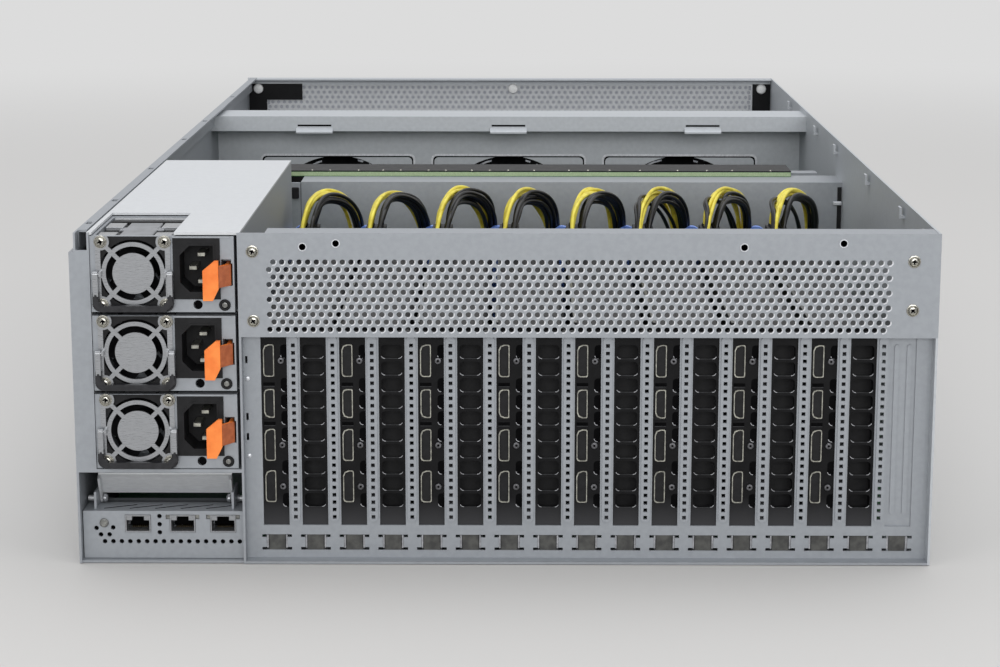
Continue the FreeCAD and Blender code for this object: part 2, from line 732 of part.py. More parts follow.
def module_tray():
    """Module tray: face plate with openings, floor, slotted top strip and two ears for the handle."""
    x0, x1 = module_left_x, module_right_x
    y = module_face_y()
    path = [(y + ear_depth, module_top_z), (y, module_top_z), (y, module_floor_z),
            (y + module_length, module_floor_z)]
    tray = folded(path, sheet, lambda a, b: (x0, a, b), (x1 - x0, 0, 0))
    cuts = [box(x - jack_width / 2, x + jack_width / 2, y - 1, y + sheet + 1, jack_bottom_z,
                jack_bottom_z + jack_height) for x in jack_x]
    cuts.append(rod(button_x, y - 1, button_z, button_r + 2 * running_gap, sheet + 2))
    for i in range(5):
        cut = box(-9, 9, -0.8, 0.8, -2, 2)
        cut.rotate(V(0, 0, 0), V(0, 0, 1), 24)
        cut.translate(V(-202 + i * 13.4, y + 9, module_top_z))
        cuts.append(cut)
    ears = [box(x, x + sheet, y + 4, y + ear_depth + 4, module_top_z - sheet / 2, module_top_z + ear_height)
            for x in (x0 + ear_inset, x1 - ear_inset - sheet)]
    holes = [rod(x, y + handle_from_face, handle_pin_z, handle_pin_r + running_gap, ear_inset + 4, "x")
             for x in (x0 - 1, x1 - ear_inset - 3)]
    return without(joined([tray] + ears), cuts + holes)


def module_handle():
    """Lever handle: a hemmed plate between two legs that turns on two pins in the tray's ears."""
    x0 = module_left_x + ear_inset + sheet + seat_gap
    x1 = module_right_x - ear_inset - sheet - seat_gap
    y = module_face_y() + handle_from_face
    back = y + handle_set_back
    low, high = handle_pin_z + handle_set_back, handle_pin_z + handle_height
    plate = box(x0, x1, back, back + sheet, low, high)
    hem = rod(x0, back + sheet / 2, high, handle_hem / 2, x1 - x0, "x")
    ends = (x0, x1 - sheet)
    legs = [box(x, x + sheet, y - handle_set_back, back + sheet, handle_pin_z, high) for x in ends]
    eyes = [rod(x, y, handle_pin_z, handle_eye_r, sheet, "x") for x in ends]
    reach = ear_inset + sheet
    pins = [rod(x0 - reach, y, handle_pin_z, handle_pin_r, reach + sheet / 2, "x"),
            rod(x1 - sheet / 2, y, handle_pin_z, handle_pin_r, reach + sheet / 2, "x")]
    handle = joined([plate, hem] + legs + eyes + pins)
    handle.rotate(V(0, y, handle_pin_z), V(1, 0, 0), handle_lean)
    return handle


def module_board():
    """Circuit board of the module, seated on the tray's floor by four posts."""
    y = module_face_y() + sheet + seat_gap
    z0 = module_floor_z + sheet
    x0, x1 = module_left_x + 6, bay_wall_x - 10
    board = box(x0, x1, y, y + module_length - 12, jack_bottom_z - jack_wall - board_thickness,
                jack_bottom_z - jack_wall)
    posts = [hex_post(x, yy, z0, 2.5, jack_bottom_z - jack_wall - board_thickness - z0)
             for x in (x0 + 6, x1 - 6) for yy in (y + 24, y + module_length - 24)]
    return joined([board] + posts)


def network_jack(x):
    """Shielded network jack, open at its rear face."""
    y = module_face_y() + sheet
    w = jack_width / 2
    shell = box(x - w - jack_wall, x + w + jack_wall, y, y + jack_depth, jack_bottom_z - jack_wall,
                jack_bottom_z + jack_height + jack_wall)
    room = box(x - w + 0.4, x + w - 0.4, y - 1, y + jack_depth - 3, jack_bottom_z + 0.3,
               jack_bottom_z + jack_height - 2.6)
    key = box(x - 3.2, x + 3.2, y - 1, y + jack_depth - 3,
              jack_bottom_z + 1, jack_bottom_z + jack_height - 0.4)
    return without(shell, [joined([room, key])])


def module_button():
    """Push button with a bevelled crown, held behind the face plate by its flange."""
    y = module_face_y()
    cap = Part.makeCone(button_r * 0.6, button_r, 1.0, V(button_x, y - 2.0, button_z), V(0, 1, 0))
    stem = rod(button_x, y - 1.0, button_z, button_r, sheet + 1.4)
    flange = rod(button_x, y + sheet + 0.1, button_z, button_r + 1.2, 0.8)
    return joined([cap, stem, flange])


# ---- graphics cards -------------------------------------------------------------------------
def card_bracket(index):
    """Double-width card bracket: four port openings, ten vents, two tongues and a screw tab."""
    x = card_x(index)
    y = slot_y + sheet
    half = card_width / 2 + 0.6
    plate = box(x - half, x + half, y, y + thin_sheet, slot_bottom_z - 4, tab_top_z)
    tab = box(x - half, x + half, rear_y + 2 * sheet, y + thin_sheet, slot_ledge_z, tab_top_z)
    tongues = [box(x + side * slot_pitch / 2 - tongue_width / 2, x + side * slot_pitch / 2 + tongue_width / 2,
                   y, y + thin_sheet, bracket_bottom_z, slot_bottom_z) for side in (-1, 1)]
    port_x = x - slot_pitch / 2 - port_set_left
    cuts = [box(port_x - port_width / 2, port_x + port_width / 2, y - 1, y + 2, z - port_height / 2,
                z + port_height / 2) for z in port_heights]
    first = slot_bottom_z + vents_from_bottom + vent_height / 2
    cuts += [box(x + slot_pitch / 2 - vent_width / 2, x + slot_pitch / 2 + vent_width / 2, y - 1, y + 2,
                 first + vent_pitch * i - vent_height / 2, first + vent_pitch * i + vent_height / 2)
             for i in range(vent_count)]
    return without(joined([plate, tab] + tongues), cuts)


def card_shroud(index):
    """Blower shroud: a chamfered housing with a round intake on its open side and a rear exhaust."""
    x0 = card_x(index) - card_width / 2 + 3
    x1 = card_x(index) + card_width / 2
    c = card_chamfer
    y0, y1 = card_rear_y, card_front_y
    low, high = card_bottom_z + 1, card_top_z - 2
    body = prism([(x0, y0, low), (x1 - c, y0, low), (x1, y0, low + c), (x1, y0, high - c), (x1 - c, y0, high),
                  (x0, y0, high)], (0, y1 - y0, 0))
    nose = prism([(x1 + 1, y1 + 1, low - 1), (x1 + 1, y1 - 14, low - 1), (x1 - 10, y1 + 1, low - 1)],
                 (0, 0, high - low + 2))
    zc = (low + high) / 2
    yb = y1 - blower_from_end
    intake = rod(x1 - blower_depth, yb, zc, blower_radius, blower_depth + 1, "x")
    hub = rod(x1 - blower_depth - 1, yb, zc, blower_hub_radius, blower_depth, "x")
    exhaust = box(card_x(index) + 2, x1 - 2.4, y0 - 1, y0 + exhaust_depth, low + 4, high - 6)
    return joined([without(body, [nose, intake, exhaust]), hub])


def card_board(index):
    """Card's circuit board with its gold-finger edge and power sockets on top."""
    x0 = card_x(index) - card_width / 2 + 3 - board_thickness
    low, high = card_bottom_z, card_top_z
    board = box(x0, x0 + board_thickness, card_rear_y, card_front_y - 4, low, high)
    fingers = box(x0, x0 + board_thickness, card_rear_y + 60, card_rear_y + 60 + finger_length,
                  low - finger_depth, low)
    px = card_x(index) + plug_offset_x
    y1 = card_front_y - plug_from_end
    socket = box(px - plug_width / 2, px + plug_width / 2, y1 - plug_length, y1,
                 high - 2, high + socket_height)
    return joined([board, fingers, socket])


def power_plug(index):
    """Plug pair on a card's power sockets, with its latch ribs."""
    px = card_x(index) + plug_offset_x
    y1 = card_front_y - plug_from_end
    low = card_top_z + socket_height
    plug = box(px - plug_width / 2, px + plug_width / 2, y1 - plug_length, y1, low, low + plug_height)
    split = box(px - plug_width, px + plug_width, y1 - plug_length * 0.44 - 0.3, y1 - plug_length * 0.44 + 0.3,
                low + 3, low + plug_height + 1)
    latches = [box(px + plug_width / 2, px + plug_width / 2 + 1.6, yy - 3, yy + 3, low + 1, low + 8)
               for yy in (y1 - plug_length * 0.25, y1 - plug_length * 0.75)]
    return joined([plug.cut(split)] + latches)


def tube(points, diameter, label):
    """Bundle of leads as a six-sided tube: straight runs joined by tangent arcs.

    Each arc is as large as its two runs allow. The section is carried along the route, so that
    every run and bend starts on the face that the one before it ended on.
    """
    points = [V(*p) for p in points]
    section = lead_section(points[0], points[1] - points[0], diameter)
    area = section.Area
    pieces = []
    radii = []
    length = 0.0
    start = points[0]
    for before, corner, after in zip(points, points[1:], points[2:]):
        run_in, run_out = corner - before, after - corner
        turn = run_in.getAngle(run_out)
        tangent = 0.45 * min(run_in.Length, run_out.Length)
        radius = tangent / math.tan(turn / 2)
        bend_start = corner - V(run_in).normalize() * tangent
        bend_end = corner + V(run_out).normalize() * tangent
        pieces.append(section.extrude(bend_start - start))
        section.translate(bend_start - start)
        to_centre = ((bend_start + bend_end) * 0.5 - corner).normalize()
        centre = corner + to_centre * math.hypot(radius, tangent)
        axis = run_in.cross(run_out).normalize()
        pieces.append(section.revolve(centre, axis, math.degrees(turn)))
        section.rotate(centre, axis, math.degrees(turn))
        length += (bend_start - start).Length + radius * turn
        radii.append(radius)
        start = bend_end
    pieces.append(section.extrude(points[-1] - start))
    length += (points[-1] - start).Length
    solid = joined(pieces)
    print(label, "length %.0f" % length, "radii", [round(r, 1) for r in radii],
          "volume share %.4f" % (solid.Volume / (area * length)))
    return solid


def lead_section(place, direction, diameter):
    """Hexagonal face across a route's first run."""
    side = direction.cross(V(0.3, 1, 0)).normalize()
    up = direction.cross(side).normalize()
    reach = diameter / 2 / math.cos(math.pi / lead_sides)
    corners = []
    for k in range(lead_sides):
        angle = (k + 0.5) * 2 * math.pi / lead_sides
        corners.append(place + side * (reach * math.cos(angle)) + up * (reach * math.sin(angle)))
    return Part.Face(Part.makePolygon(corners + [corners[0]]))


def lead_route(index):
    """Points of a lead bundle: up from the plug, over to the right and down behind the card."""
    x = card_x(index) + plug_offset_x
    y = card_front_y - plug_from_end - plug_length / 2
    z = card_top_z + socket_height + plug_height
    floor = board_z + pcb + header_height
    return [(x, y, z), (x, y, z + 12), (x + 11, y + 16, z + 22), (x + 23, y + 39, z + 14),
            (x + 27, y + 59, z - 8), (x + 25, y + 67, z - 36), (x + 24, y + 69, z - 66),
            (x + 24, y + 69, floor)]


def lead_header(index):
    """Socket on the baseboard that a lead bundle ends in."""
    x, y, z = lead_route(index)[-1]
    return box(x - 6, x + 6, y - 9, y + 9, board_z + pcb, z)


def card_holder(index):
    """Moulded holder that stands on the baseboard and grips a card's inner end."""
    x = card_x(index)
    x0 = x - card_width / 2 - holder_width / 2
    y = card_front_y + seat_gap
    post = box(x0, x0 + holder_width, y, y + holder_depth, board_z + pcb, card_top_z)
    knob = rod(x0 + holder_width / 2, y, card_top_z + 1.2, holder_knob_r, holder_depth)
    foot = box(x0, x0 + holder_width, y, y + 2 * holder_depth, board_z + pcb, board_z + pcb + 3)
    return joined([post, knob, foot])


# ---- boards ---------------------------------------------------------------------------------
def standoffs(places):
    """Round spacers on the floor pan below a board."""
    return [hex_post(x, y, floor_z, standoff_r, standoff_height) for x, y in places]


def card_baseboard():
    """Board below the cards, on spacers."""
    x0, x1 = bay_wall_x + 4, inner_right - 6
    y0, y1 = slot_y + 16, partition_y - 6
    board = box(x0, x1, y0, y1, board_z, board_z + pcb)
    feet = standoffs([(x, y) for x in (x0 + 8, (x0 + x1) / 2, x1 - 8)
                      for y in (y0 + 8, (y0 + y1) / 2, y1 - 8)])
    return joined([board] + feet)


def slot_socket(index):
    """Slot connector below a card."""
    x0 = card_x(index) - card_width / 2 + 3 - board_thickness / 2
    y0 = card_rear_y + 60
    top = card_bottom_z - 0.6
    body = box(x0 - 3.8, x0 + 3.8, y0 - 2, y0 + finger_length + 2, board_z + pcb, top)
    groove = box(x0 - board_thickness / 2 - seat_gap, x0 + board_thickness / 2 + seat_gap,
                 y0 - seat_gap, y0 + finger_length + seat_gap, card_bottom_z - finger_depth - seat_gap, top + 1)
    return body.cut(groove)


def main_board():
    """Processor board between the partition and the fan wall, on spacers."""
    x1 = main_board_width / 2
    y0 = partition_y + sheet + main_board_set_back
    board = box(-x1, x1, y0, y0 + main_board_depth, board_z, board_z + pcb)
    feet = standoffs([(x, y) for x in (-x1 + 8, 0, x1 - 8) for y in (y0 + 14, y0 + main_board_depth - 24)])
    return joined([board] + feet)


def memory_places():
    """Middles of the memory modules: a bank at each edge of the board and one between the processors."""
    bank = memory_pitch * (memory_bank - 1)
    starts = (-main_board_width / 2 + memory_edge, -bank / 2, main_board_width / 2 - memory_edge - bank)
    return [start + i * memory_pitch for start in starts for i in range(memory_bank)]


def heat_sink_places():
    """Each heat sink stands midway between the middle bank of memory and an outer one."""
    places = memory_places()
    middle = (places[-memory_bank] + places[2 * memory_bank - 1]) / 2
    return (-middle, middle)


def heat_sink(x):
    """Finned processor heat sink on its socket frame."""
    y = partition_y + sheet + main_board_set_back + main_board_depth / 2
    z = board_z + pcb
    half = heat_sink_size / 2
    base_z = z + cpu_socket_height
    fin_z = base_z + heat_sink_base
    base = box(x - half, x + half, y - half, y + half, base_z, fin_z)
    socket = box(x - cpu_socket_width / 2, x + cpu_socket_width / 2,
                 y - cpu_socket_depth / 2, y + cpu_socket_depth / 2, z, base_z)
    fins = []
    for i in range(fin_count):
        fin_x = x - half + fin_pitch * i
        fins.append(box(fin_x, fin_x + fin_thickness, y - half, y + half, fin_z, fin_z + fin_height))
    return joined([base, socket] + fins)


def memory_module(x):
    """Memory module in its socket."""
    y = partition_y + sheet + main_board_set_back + main_board_depth / 2
    z = board_z + pcb
    top = z + memory_socket_height
    socket = box(x - memory_socket_width / 2, x + memory_socket_width / 2,
                 y - memory_socket_length / 2, y + memory_socket_length / 2, z, top)
    module = box(x - memory_thickness / 2, x + memory_thickness / 2,
                 y - memory_length / 2, y + memory_length / 2, top, top + memory_height)
    return joined([socket, module])


def power_distribution_board():
    """Horizontal board that lies on the partition's flange and on two posts."""
    x1 = power_board_width / 2
    y0 = partition_y + power_board_set_back
    return box(-x1, x1, y0, y0 + power_board_depth, partition_top_z, partition_top_z + power_board_thickness)


def power_board_cover():
    """Black insulating cover that lies on the power board, turned down along its inner edge."""
    x1 = power_board_width / 2
    y0 = partition_y + power_board_set_back
    y1 = y0 + power_board_depth + seat_gap + thin_sheet
    z = partition_top_z + power_board_thickness
    path = [(y0 + 0.5, z + thin_sheet), (y1, z + thin_sheet), (y1, z - 2 * power_board_thickness)]
    return folded(path, -thin_sheet, lambda y, h: (-x1, y, h), (2 * x1, 0, 0))


def power_board_posts():
    """Two sheet posts that carry the power board's inner edge from the main board's floor."""
    posts = []
    for side in (-1, 1):
        x = side * (main_board_width / 2 + 6)
        y = partition_y + power_board_set_back + power_board_depth - 13
        post = box(x - 4, x + 4, y, y + sheet, floor_z, partition_top_z)
        arm = box(min(x - 4, x - side * 24), max(x + 4, x - side * 24), y, y + 12,
                  partition_top_z - sheet, partition_top_z)
        foot = box(x - 4, x + 4, y, y + 12, floor_z, floor_z + sheet)
        posts.append(joined([post, arm, foot]))
    return posts


def supply_backplane():
    """Upright board at the supplies' inner ends with three edge sockets."""
    y = psu_face_y + psu_length + 12
    x0, x1 = psu_left_x + 2, psu_right_x - 2
    board = box(x0, x1, y, y + pcb, shelf_top_z, height - sheet - seat_gap)
    sockets = []
    for z in psu_bottoms:
        block = box(psu_left_x + 9, psu_left_x + 63, y - 11, y, z + 5, z + 12.6)
        slot = box(psu_left_x + 12 - seat_gap, psu_left_x + 60 + seat_gap, y - 12, y - 2, z + 8 - seat_gap,
                   z + 9.6 + seat_gap)
        sockets.append(block.cut(slot))
    return joined([board] + sockets)


# ---- partition, fan wall and front ------------------------------------------------------------
def mid_partition():
    """Cross wall behind the cards with a top flange and air windows."""
    path = [(partition_y + flange_depth, floor_z), (partition_y, floor_z), (partition_y, partition_top_z),
            (partition_y + partition_flange, partition_top_z)]
    wall = folded(path, -sheet, lambda y, z: (inner_left, y, z), (inner_right - inner_left, 0, 0))
    pitch = (inner_right - inner_left) / partition_windows
    cuts = []
    for i in range(partition_windows):
        x = inner_left + pitch * (i + 0.5)
        cuts.append(box(x - partition_window_width / 2, x + partition_window_width / 2, partition_y - 1,
                        partition_y + sheet + 1, partition_window_z,
                        partition_window_z + partition_window_height))
    cuts.append(box(inner_left - 1, bay_wall_x - sheet, partition_y - 1, partition_y + partition_flange + 1,
                    partition_cut_z, partition_top_z + 1))
    return without(wall, cuts)


def fan_wall():
    """Fan wall with a folded top beam, three square windows and three hooked tabs."""
    z = fan_beam_top_z
    near = fan_wall_y - fan_beam_depth
    path = [(near, z - fan_beam_lip), (near, z), (fan_wall_y + sheet, z), (fan_wall_y + sheet, floor_z),
            (fan_wall_y - flange_depth, floor_z)]
    wall = folded(path, -sheet, lambda y, h: (inner_left, y, h), (inner_right - inner_left, 0, 0))
    cuts = [rod(case_fan_x(i), fan_wall_y - 1, case_fan_z, case_fan_bore, sheet + 2)
            for i in range(case_fan_count)]
    cuts.append(lid_step_room(near, fan_wall_y + sheet))
    top = z - fan_beam_lip + fan_tab_height - sheet
    tabs = [prism([(x - fan_tab_width / 2, near + sheet, top), (x - fan_tab_width / 2, near + sheet, top - 2 * sheet),
                   (x - fan_tab_width / 2, near - fan_tab_reach, top - fan_tab_height),
                   (x - fan_tab_width / 2, near - fan_tab_reach, top - fan_tab_height + sheet)],
                  (fan_tab_width, 0, 0)) for x in (-144, 0, 144)]
    return joined([without(wall, cuts)] + tabs)


def front_panel():
    """Front sheet turned in along its top edge between the side walls."""
    y = front_y
    path = [(y - front_flange, height), (y, height), (y, 0)]
    panel = folded(path, -sheet, lambda a, b: (left_x, a, b), (width, 0, 0))
    low = height - 2 * sheet
    ends = [box(left_x - 1, left_x + lid_flange + seat_gap, y - front_flange - 1, y - sheet, low, height + 1),
            box(inner_right - seat_gap, right_x + 1, y - front_flange - 1, y - sheet, low, height + 1)]
    return without(panel, ends)


def front_corner_brackets():
    """Black angle brackets inside the front corners."""
    y = front_y - sheet
    low, high = floor_z + corner_from_floor, height - corner_from_top
    leg, arm = inner_left + corner_leg, inner_left + corner_arm
    under_arm = high - corner_arm_height
    left = prism([(inner_left, y, low), (leg, y, low), (leg, y, under_arm), (arm, y, under_arm), (arm, y, high),
                  (inner_left, y, high)], (0, -corner_thickness, 0))
    right = box(inner_right - corner_leg, inner_right, y - corner_thickness, y, low, high)
    return [left.cut(lid_step_room(y - corner_thickness, y)), right]


# ---- assembly -------------------------------------------------------------------------------
def build():
    """All nodes by name."""
    nodes = {
        "floor_pan": floor_pan(),
        "side_wall_left": side_wall_left(),
        "side_wall_right": side_wall_right(),
        "rear_slot_frame": rear_slot_frame(),
        "slot_blank_plate": slot_blank_plate(),
        "rear_vent_panel": rear_vent_panel(),
        "psu_bay_wall": psu_bay_wall(),
        "psu_bay_cover": psu_bay_cover(),
        "psu_shelf": psu_shelf(),
        "supply_backplane": supply_backplane(),
        "module_tray": module_tray(),
        "module_board": module_board(),
        "module_handle": module_handle(),
        "module_button": module_button(),
        "network_jacks": group([network_jack(x) for x in jack_x]),
        "mid_partition": mid_partition(),
        "fan_wall": fan_wall(),
        "front_panel": front_panel(),
        "front_corner_brackets": group(front_corner_brackets()),
        "card_baseboard": card_baseboard(),
        "main_board": main_board(),
        "heat_sinks": group([heat_sink(x) for x in heat_sink_places()]),
        "memory_modules": group([memory_module(x) for x in memory_places()]),
        "power_distribution_board": power_distribution_board(),
        "power_board_cover": power_board_cover(),
        "power_board_posts": group(power_board_posts()),
    }
    for i, z in enumerate(reversed(psu_bottoms), start=1):
        nodes["psu_case_%d" % i] = psu_case(z)
        nodes["psu_fan_guard_%d" % i] = finger_guard(z)
        nodes["psu_inlet_%d" % i] = mains_inlet(z)
        nodes["psu_bail_%d" % i] = psu_bail(z)
        nodes["psu_latch_%d" % i] = psu_latch(z)
        nodes["psu_fan_rotor_%d" % i] = psu_fan_rotor(z)
    nodes["case_fan_frames"] = group([case_fan_frame(i) for i in range(case_fan_count)])
    for i in range(case_fan_count):
        nodes["case_fan_rotor_%d" % (i + 1)] = case_fan_rotor(i)
    cards = range(card_count)
    nodes["card_brackets"] = group([card_bracket(i) for i in cards])
    nodes["card_shrouds"] = group([card_shroud(i) for i in cards])
    nodes["card_boards"] = group([card_board(i) for i in cards])
    nodes["slot_sockets"] = group([slot_socket(i) for i in cards])
    nodes["power_plugs"] = group([power_plug(i) for i in cards])
    nodes["power_leads"] = group([tube(lead_route(i), lead_diameter, "lead %d" % (i + 1)) for i in cards])
    nodes["lead_headers"] = group([lead_header(i) for i in cards])
    nodes["card_holders"] = group([card_holder(i) for i in cards])
    return nodes


def write_parts():
    """Write one STEP file per node."""
    os.makedirs("parts", exist_ok=True)
    for name, shape in build().items():
        shape.exportStep(os.path.join("parts", name + ".step"))


write_parts()
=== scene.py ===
"""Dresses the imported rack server: finishes, perforations, ports, screws, wires, light and camera."""
import json
import math
import random

import bmesh
import bpy
from mathutils import Matrix, Vector


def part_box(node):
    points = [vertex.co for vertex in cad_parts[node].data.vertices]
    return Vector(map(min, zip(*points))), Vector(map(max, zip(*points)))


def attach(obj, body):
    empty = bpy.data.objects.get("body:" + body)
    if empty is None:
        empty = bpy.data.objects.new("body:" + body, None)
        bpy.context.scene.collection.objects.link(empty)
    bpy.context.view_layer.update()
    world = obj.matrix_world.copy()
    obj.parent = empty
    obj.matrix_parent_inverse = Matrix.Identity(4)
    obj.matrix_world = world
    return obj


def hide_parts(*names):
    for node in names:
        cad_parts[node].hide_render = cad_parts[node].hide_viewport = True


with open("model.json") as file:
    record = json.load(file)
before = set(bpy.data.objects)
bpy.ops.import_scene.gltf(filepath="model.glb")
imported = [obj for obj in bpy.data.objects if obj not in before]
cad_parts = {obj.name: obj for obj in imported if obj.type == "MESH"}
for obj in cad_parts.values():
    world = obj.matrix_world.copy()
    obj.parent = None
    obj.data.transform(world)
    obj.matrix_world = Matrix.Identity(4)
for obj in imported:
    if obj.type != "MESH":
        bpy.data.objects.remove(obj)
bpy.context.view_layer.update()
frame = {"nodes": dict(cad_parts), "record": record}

# ---- driving dimensions, in millimetres --------------------------------------
MM = 0.001
sheet = 1.2
slot_count = 17
slot_pitch = 20.32
slot_field_x = 43.3
rib_set_back = 8.0         # ribs, from the upper rear panel's face
card_count = 8
plug_offset = -11.0        # power plugs, from a card's middle
holder_offset = -19.0      # round heads of the holders, from a card's middle
bracket_sheet = 0.8
vent_count, vent_width, vent_height, vent_pitch, vent_first = 10, 11.9, 7.9, 8.83, 32.05
side_vents = (0, 2, 4, 5, 6, 7, 9)    # rows that also have a vent beside the sockets
port_heights = (106.8, 84.0, 61.8, 39.5)
port_kinds = ("tall", "short", "tall", "tall")
port_offset = -2.8         # display sockets, from a slot's middle
supply_numbers = (1, 2, 3)
guard_screw_offset = 16.3  # from the fan's axis
jack_places = (-191.7, -168.3, -147.1)
jack_half, jack_low, jack_high = 6.6, 15.6, 24.8
jack_lamp_offset = 7.6     # from a jack's middle
module_top = 27.0
module_button = (-209.4, 20.6)
case_fans = (-130.0, 0.0, 130.0)
case_fan_z = 79.0
fan_wall_tabs = (-144.0, 0.0, 144.0)
background = "#DCDCDC"


def span(node):
    """Lowest and highest corner of a node, in millimetres."""
    low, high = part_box(node)
    return [v / MM for v in low], [v / MM for v in high]


def slot_x(index):
    """Middle of an expansion slot; slot 0 is next to the power supplies."""
    return slot_field_x + (index - (slot_count - 1) / 2) * slot_pitch


def card_x(index):
    """Middle of a double-width card."""
    return slot_x(2 * index) + slot_pitch / 2


def body_of(node):
    """Body that a CAD node belongs to."""
    bodies = frame["record"]["behaviour"]["bodies"]
    return next(name for name, nodes in bodies.items() if node in nodes)


# ---- forms -------------------------------------------------------------------
class Form:
    """A mesh in the making, in millimetres."""

    def __init__(self):
        self.mesh = bmesh.new()
        self.index = 0

    def mark(self, verts):
        """Gives the faces on these points the form's current material index."""
        for face in {f for v in verts for f in v.link_faces}:
            face.material_index = self.index

    def block(self, x0, x1, y0, y1, z0, z1, chamfer=0.0, turn=None):
        """Box with chamfered edges; turn is a matrix about its middle."""
        verts = bmesh.ops.create_cube(self.mesh, size=1.0)["verts"]
        size = Vector((x1 - x0, y1 - y0, z1 - z0))
        centre = Vector(((x0 + x1) / 2, (y0 + y1) / 2, (z0 + z1) / 2))
        for v in verts:
            v.co = Vector([a * b for a, b in zip(v.co, size)])
        if chamfer:
            edges = list({e for v in verts for e in v.link_edges})
            made = bmesh.ops.bevel(self.mesh, geom=edges, offset=chamfer, segments=1, affect="EDGES")
            verts = list(set(made["verts"]) | {v for v in verts if v.is_valid})
        for v in verts:
            v.co = (turn @ v.co if turn else v.co) + centre
        self.mark(verts)

    def sides(self, one, two):
        """Faces between two rings of points."""
        for k in range(len(one)):
            j = (k + 1) % len(one)
            self.mesh.faces.new((one[k], one[j], two[j], two[k]))

    def prism(self, outline, along):
        """Closed outline of points, extruded by a vector."""
        low = [self.mesh.verts.new(p) for p in outline]
        high = [self.mesh.verts.new(Vector(p) + Vector(along)) for p in outline]
        self.mesh.faces.new(low)
        self.mesh.faces.new(high[::-1])
        self.sides(high, low)
        self.mark(low + high)

    def turned(self, profile, centre, axis="y", sides=24):
        """Solid of revolution: profile gives (radius, distance along the axis) from end to end."""
        rings = []
        for radius, run in profile:
            ring = []
            for k in range(sides):
                a = 2 * math.pi * k / sides
                c, s = radius * math.cos(a), radius * math.sin(a)
                point = {"x": (run, c, s), "y": (c, run, s), "z": (c, s, run)}[axis]
                ring.append(self.mesh.verts.new(Vector(point) + Vector(centre)))
            rings.append(ring)
        for one, two in zip(rings, rings[1:]):
            self.sides(one, two)
        self.mesh.faces.new(rings[0][::-1])
        self.mesh.faces.new(rings[-1])
        self.mark([v for ring in rings for v in ring])

    def frame(self, outer, inner, along):
        """Closed ring between two outlines with the same number of points."""
        rings = []
        for outline, shift in ((outer, 0), (outer, 1), (inner, 1), (inner, 0)):
            rings.append([self.mesh.verts.new(Vector(p) + Vector(along) * shift) for p in outline])
        for one, two in zip(rings, rings[1:] + rings[:1]):
            self.sides(one, two)
        self.mark([v for ring in rings for v in ring])

    def data(self, name):
        """The form as mesh data in metres, with outward faces."""
        bmesh.ops.recalc_face_normals(self.mesh, faces=self.mesh.faces)
        bmesh.ops.scale(self.mesh, vec=(MM, MM, MM), verts=self.mesh.verts)
        data = bpy.data.meshes.new(name)
        self.mesh.to_mesh(data)
        self.mesh.free()
        return data

    def done(self, name, finishes, body="chassis", slot=None, smooth=False):
        """Makes the piece and lets it ride on a body."""
        data = self.data(name)
        for finish in finishes:
            data.materials.append(finish)
        piece = placed(name, data)
        if smooth:
            crisp(piece)
        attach(piece, body)
        return piece


def studs(name, profile, places, finish, slot, axis="y", sides=24, body="chassis"):
    """Equal turned pieces at several places, as one smooth piece."""
    form = Form()
    for place in places:
        form.turned(profile, place, axis, sides)
    form.done(name, [finish], body, slot, smooth=True)


def bar(name, finish, bounds, slot=None, body="chassis"):
    """Single block as a piece."""
    form = Form()
    form.block(*bounds)
    form.done(name, [finish], body, slot)


def placed(name, data):
    """New object in the scene."""
    thing = bpy.data.objects.new(name, data)
    bpy.context.scene.collection.objects.link(thing)
    return thing


def crisp(piece, angle=35):
    """Smooth shading that stays crisp at edges sharper than the angle."""
    mesh = bmesh.new()
    mesh.from_mesh(piece.data)
    for face in mesh.faces:
        face.smooth = True
    for edge in mesh.edges:
        edge.smooth = len(edge.link_faces) == 2 and edge.calc_face_angle() < math.radians(angle)
    mesh.to_mesh(piece.data)
    mesh.free()


def arc(x, z, radius, start, stop, steps, y=0.0):
    """Points of an arc in an upright plane across Y, angles in degrees."""
    turn = [math.radians(start + (stop - start) * k / steps) for k in range(steps + 1)]
    return [(x + radius * math.cos(a), y, z + radius * math.sin(a)) for a in turn]


def rounded(x, z, w, h, radii, y=0.0, steps=4):
    """Rounded rectangle in an upright plane; radii run from the top right, leftward round."""
    points = []
    corners = ((1, 1, 0), (-1, 1, 90), (-1, -1, 180), (1, -1, 270))
    for (sx, sz, begin), r in zip(corners, radii):
        points += arc(x + sx * (w / 2 - r), z + sz * (h / 2 - r), r, begin, begin + 90, steps, y)
    return points


def pierced(node, name, cutters, finish):
    """Copy of a CAD node's sheet with the cutters' holes in it, shown in the node's place."""
    mesh = bmesh.new()
    mesh.from_mesh(frame["nodes"][node].data)
    bmesh.ops.remove_doubles(mesh, verts=mesh.verts, dist=1e-6)
    bmesh.ops.dissolve_limit(mesh, angle_limit=math.radians(0.5), verts=mesh.verts, edges=mesh.edges)
    for face in mesh.faces:
        face.smooth = False
    data = bpy.data.meshes.new(name)
    mesh.to_mesh(data)
    mesh.free()
    data.materials.append(finish)
    piece = placed(name, data)
    knife = placed(name + "_knife", cutters.data(name + "_knife"))
    cut = piece.modifiers.new("cut", "BOOLEAN")
    cut.operation = "DIFFERENCE"
    cut.solver = "EXACT"
    cut.object = knife
    bpy.context.view_layer.update()
    evaluated = piece.evaluated_get(bpy.context.evaluated_depsgraph_get())
    result = bpy.data.meshes.new_from_object(evaluated)
    piece.modifiers.clear()
    piece.data = result
    bpy.data.objects.remove(knife)
    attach(piece, body_of(node))
    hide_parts(node)


# ---- shader building ---------------------------------------------------------
def linear(code):
    """Linear colour of an sRGB hex value."""
    channels = [int(code[i:i + 2], 16) / 255 for i in (1, 3, 5)]
    return [c / 12.92 if c <= 0.04045 else ((c + 0.055) / 1.055) ** 2.4 for c in channels] + [1.0]


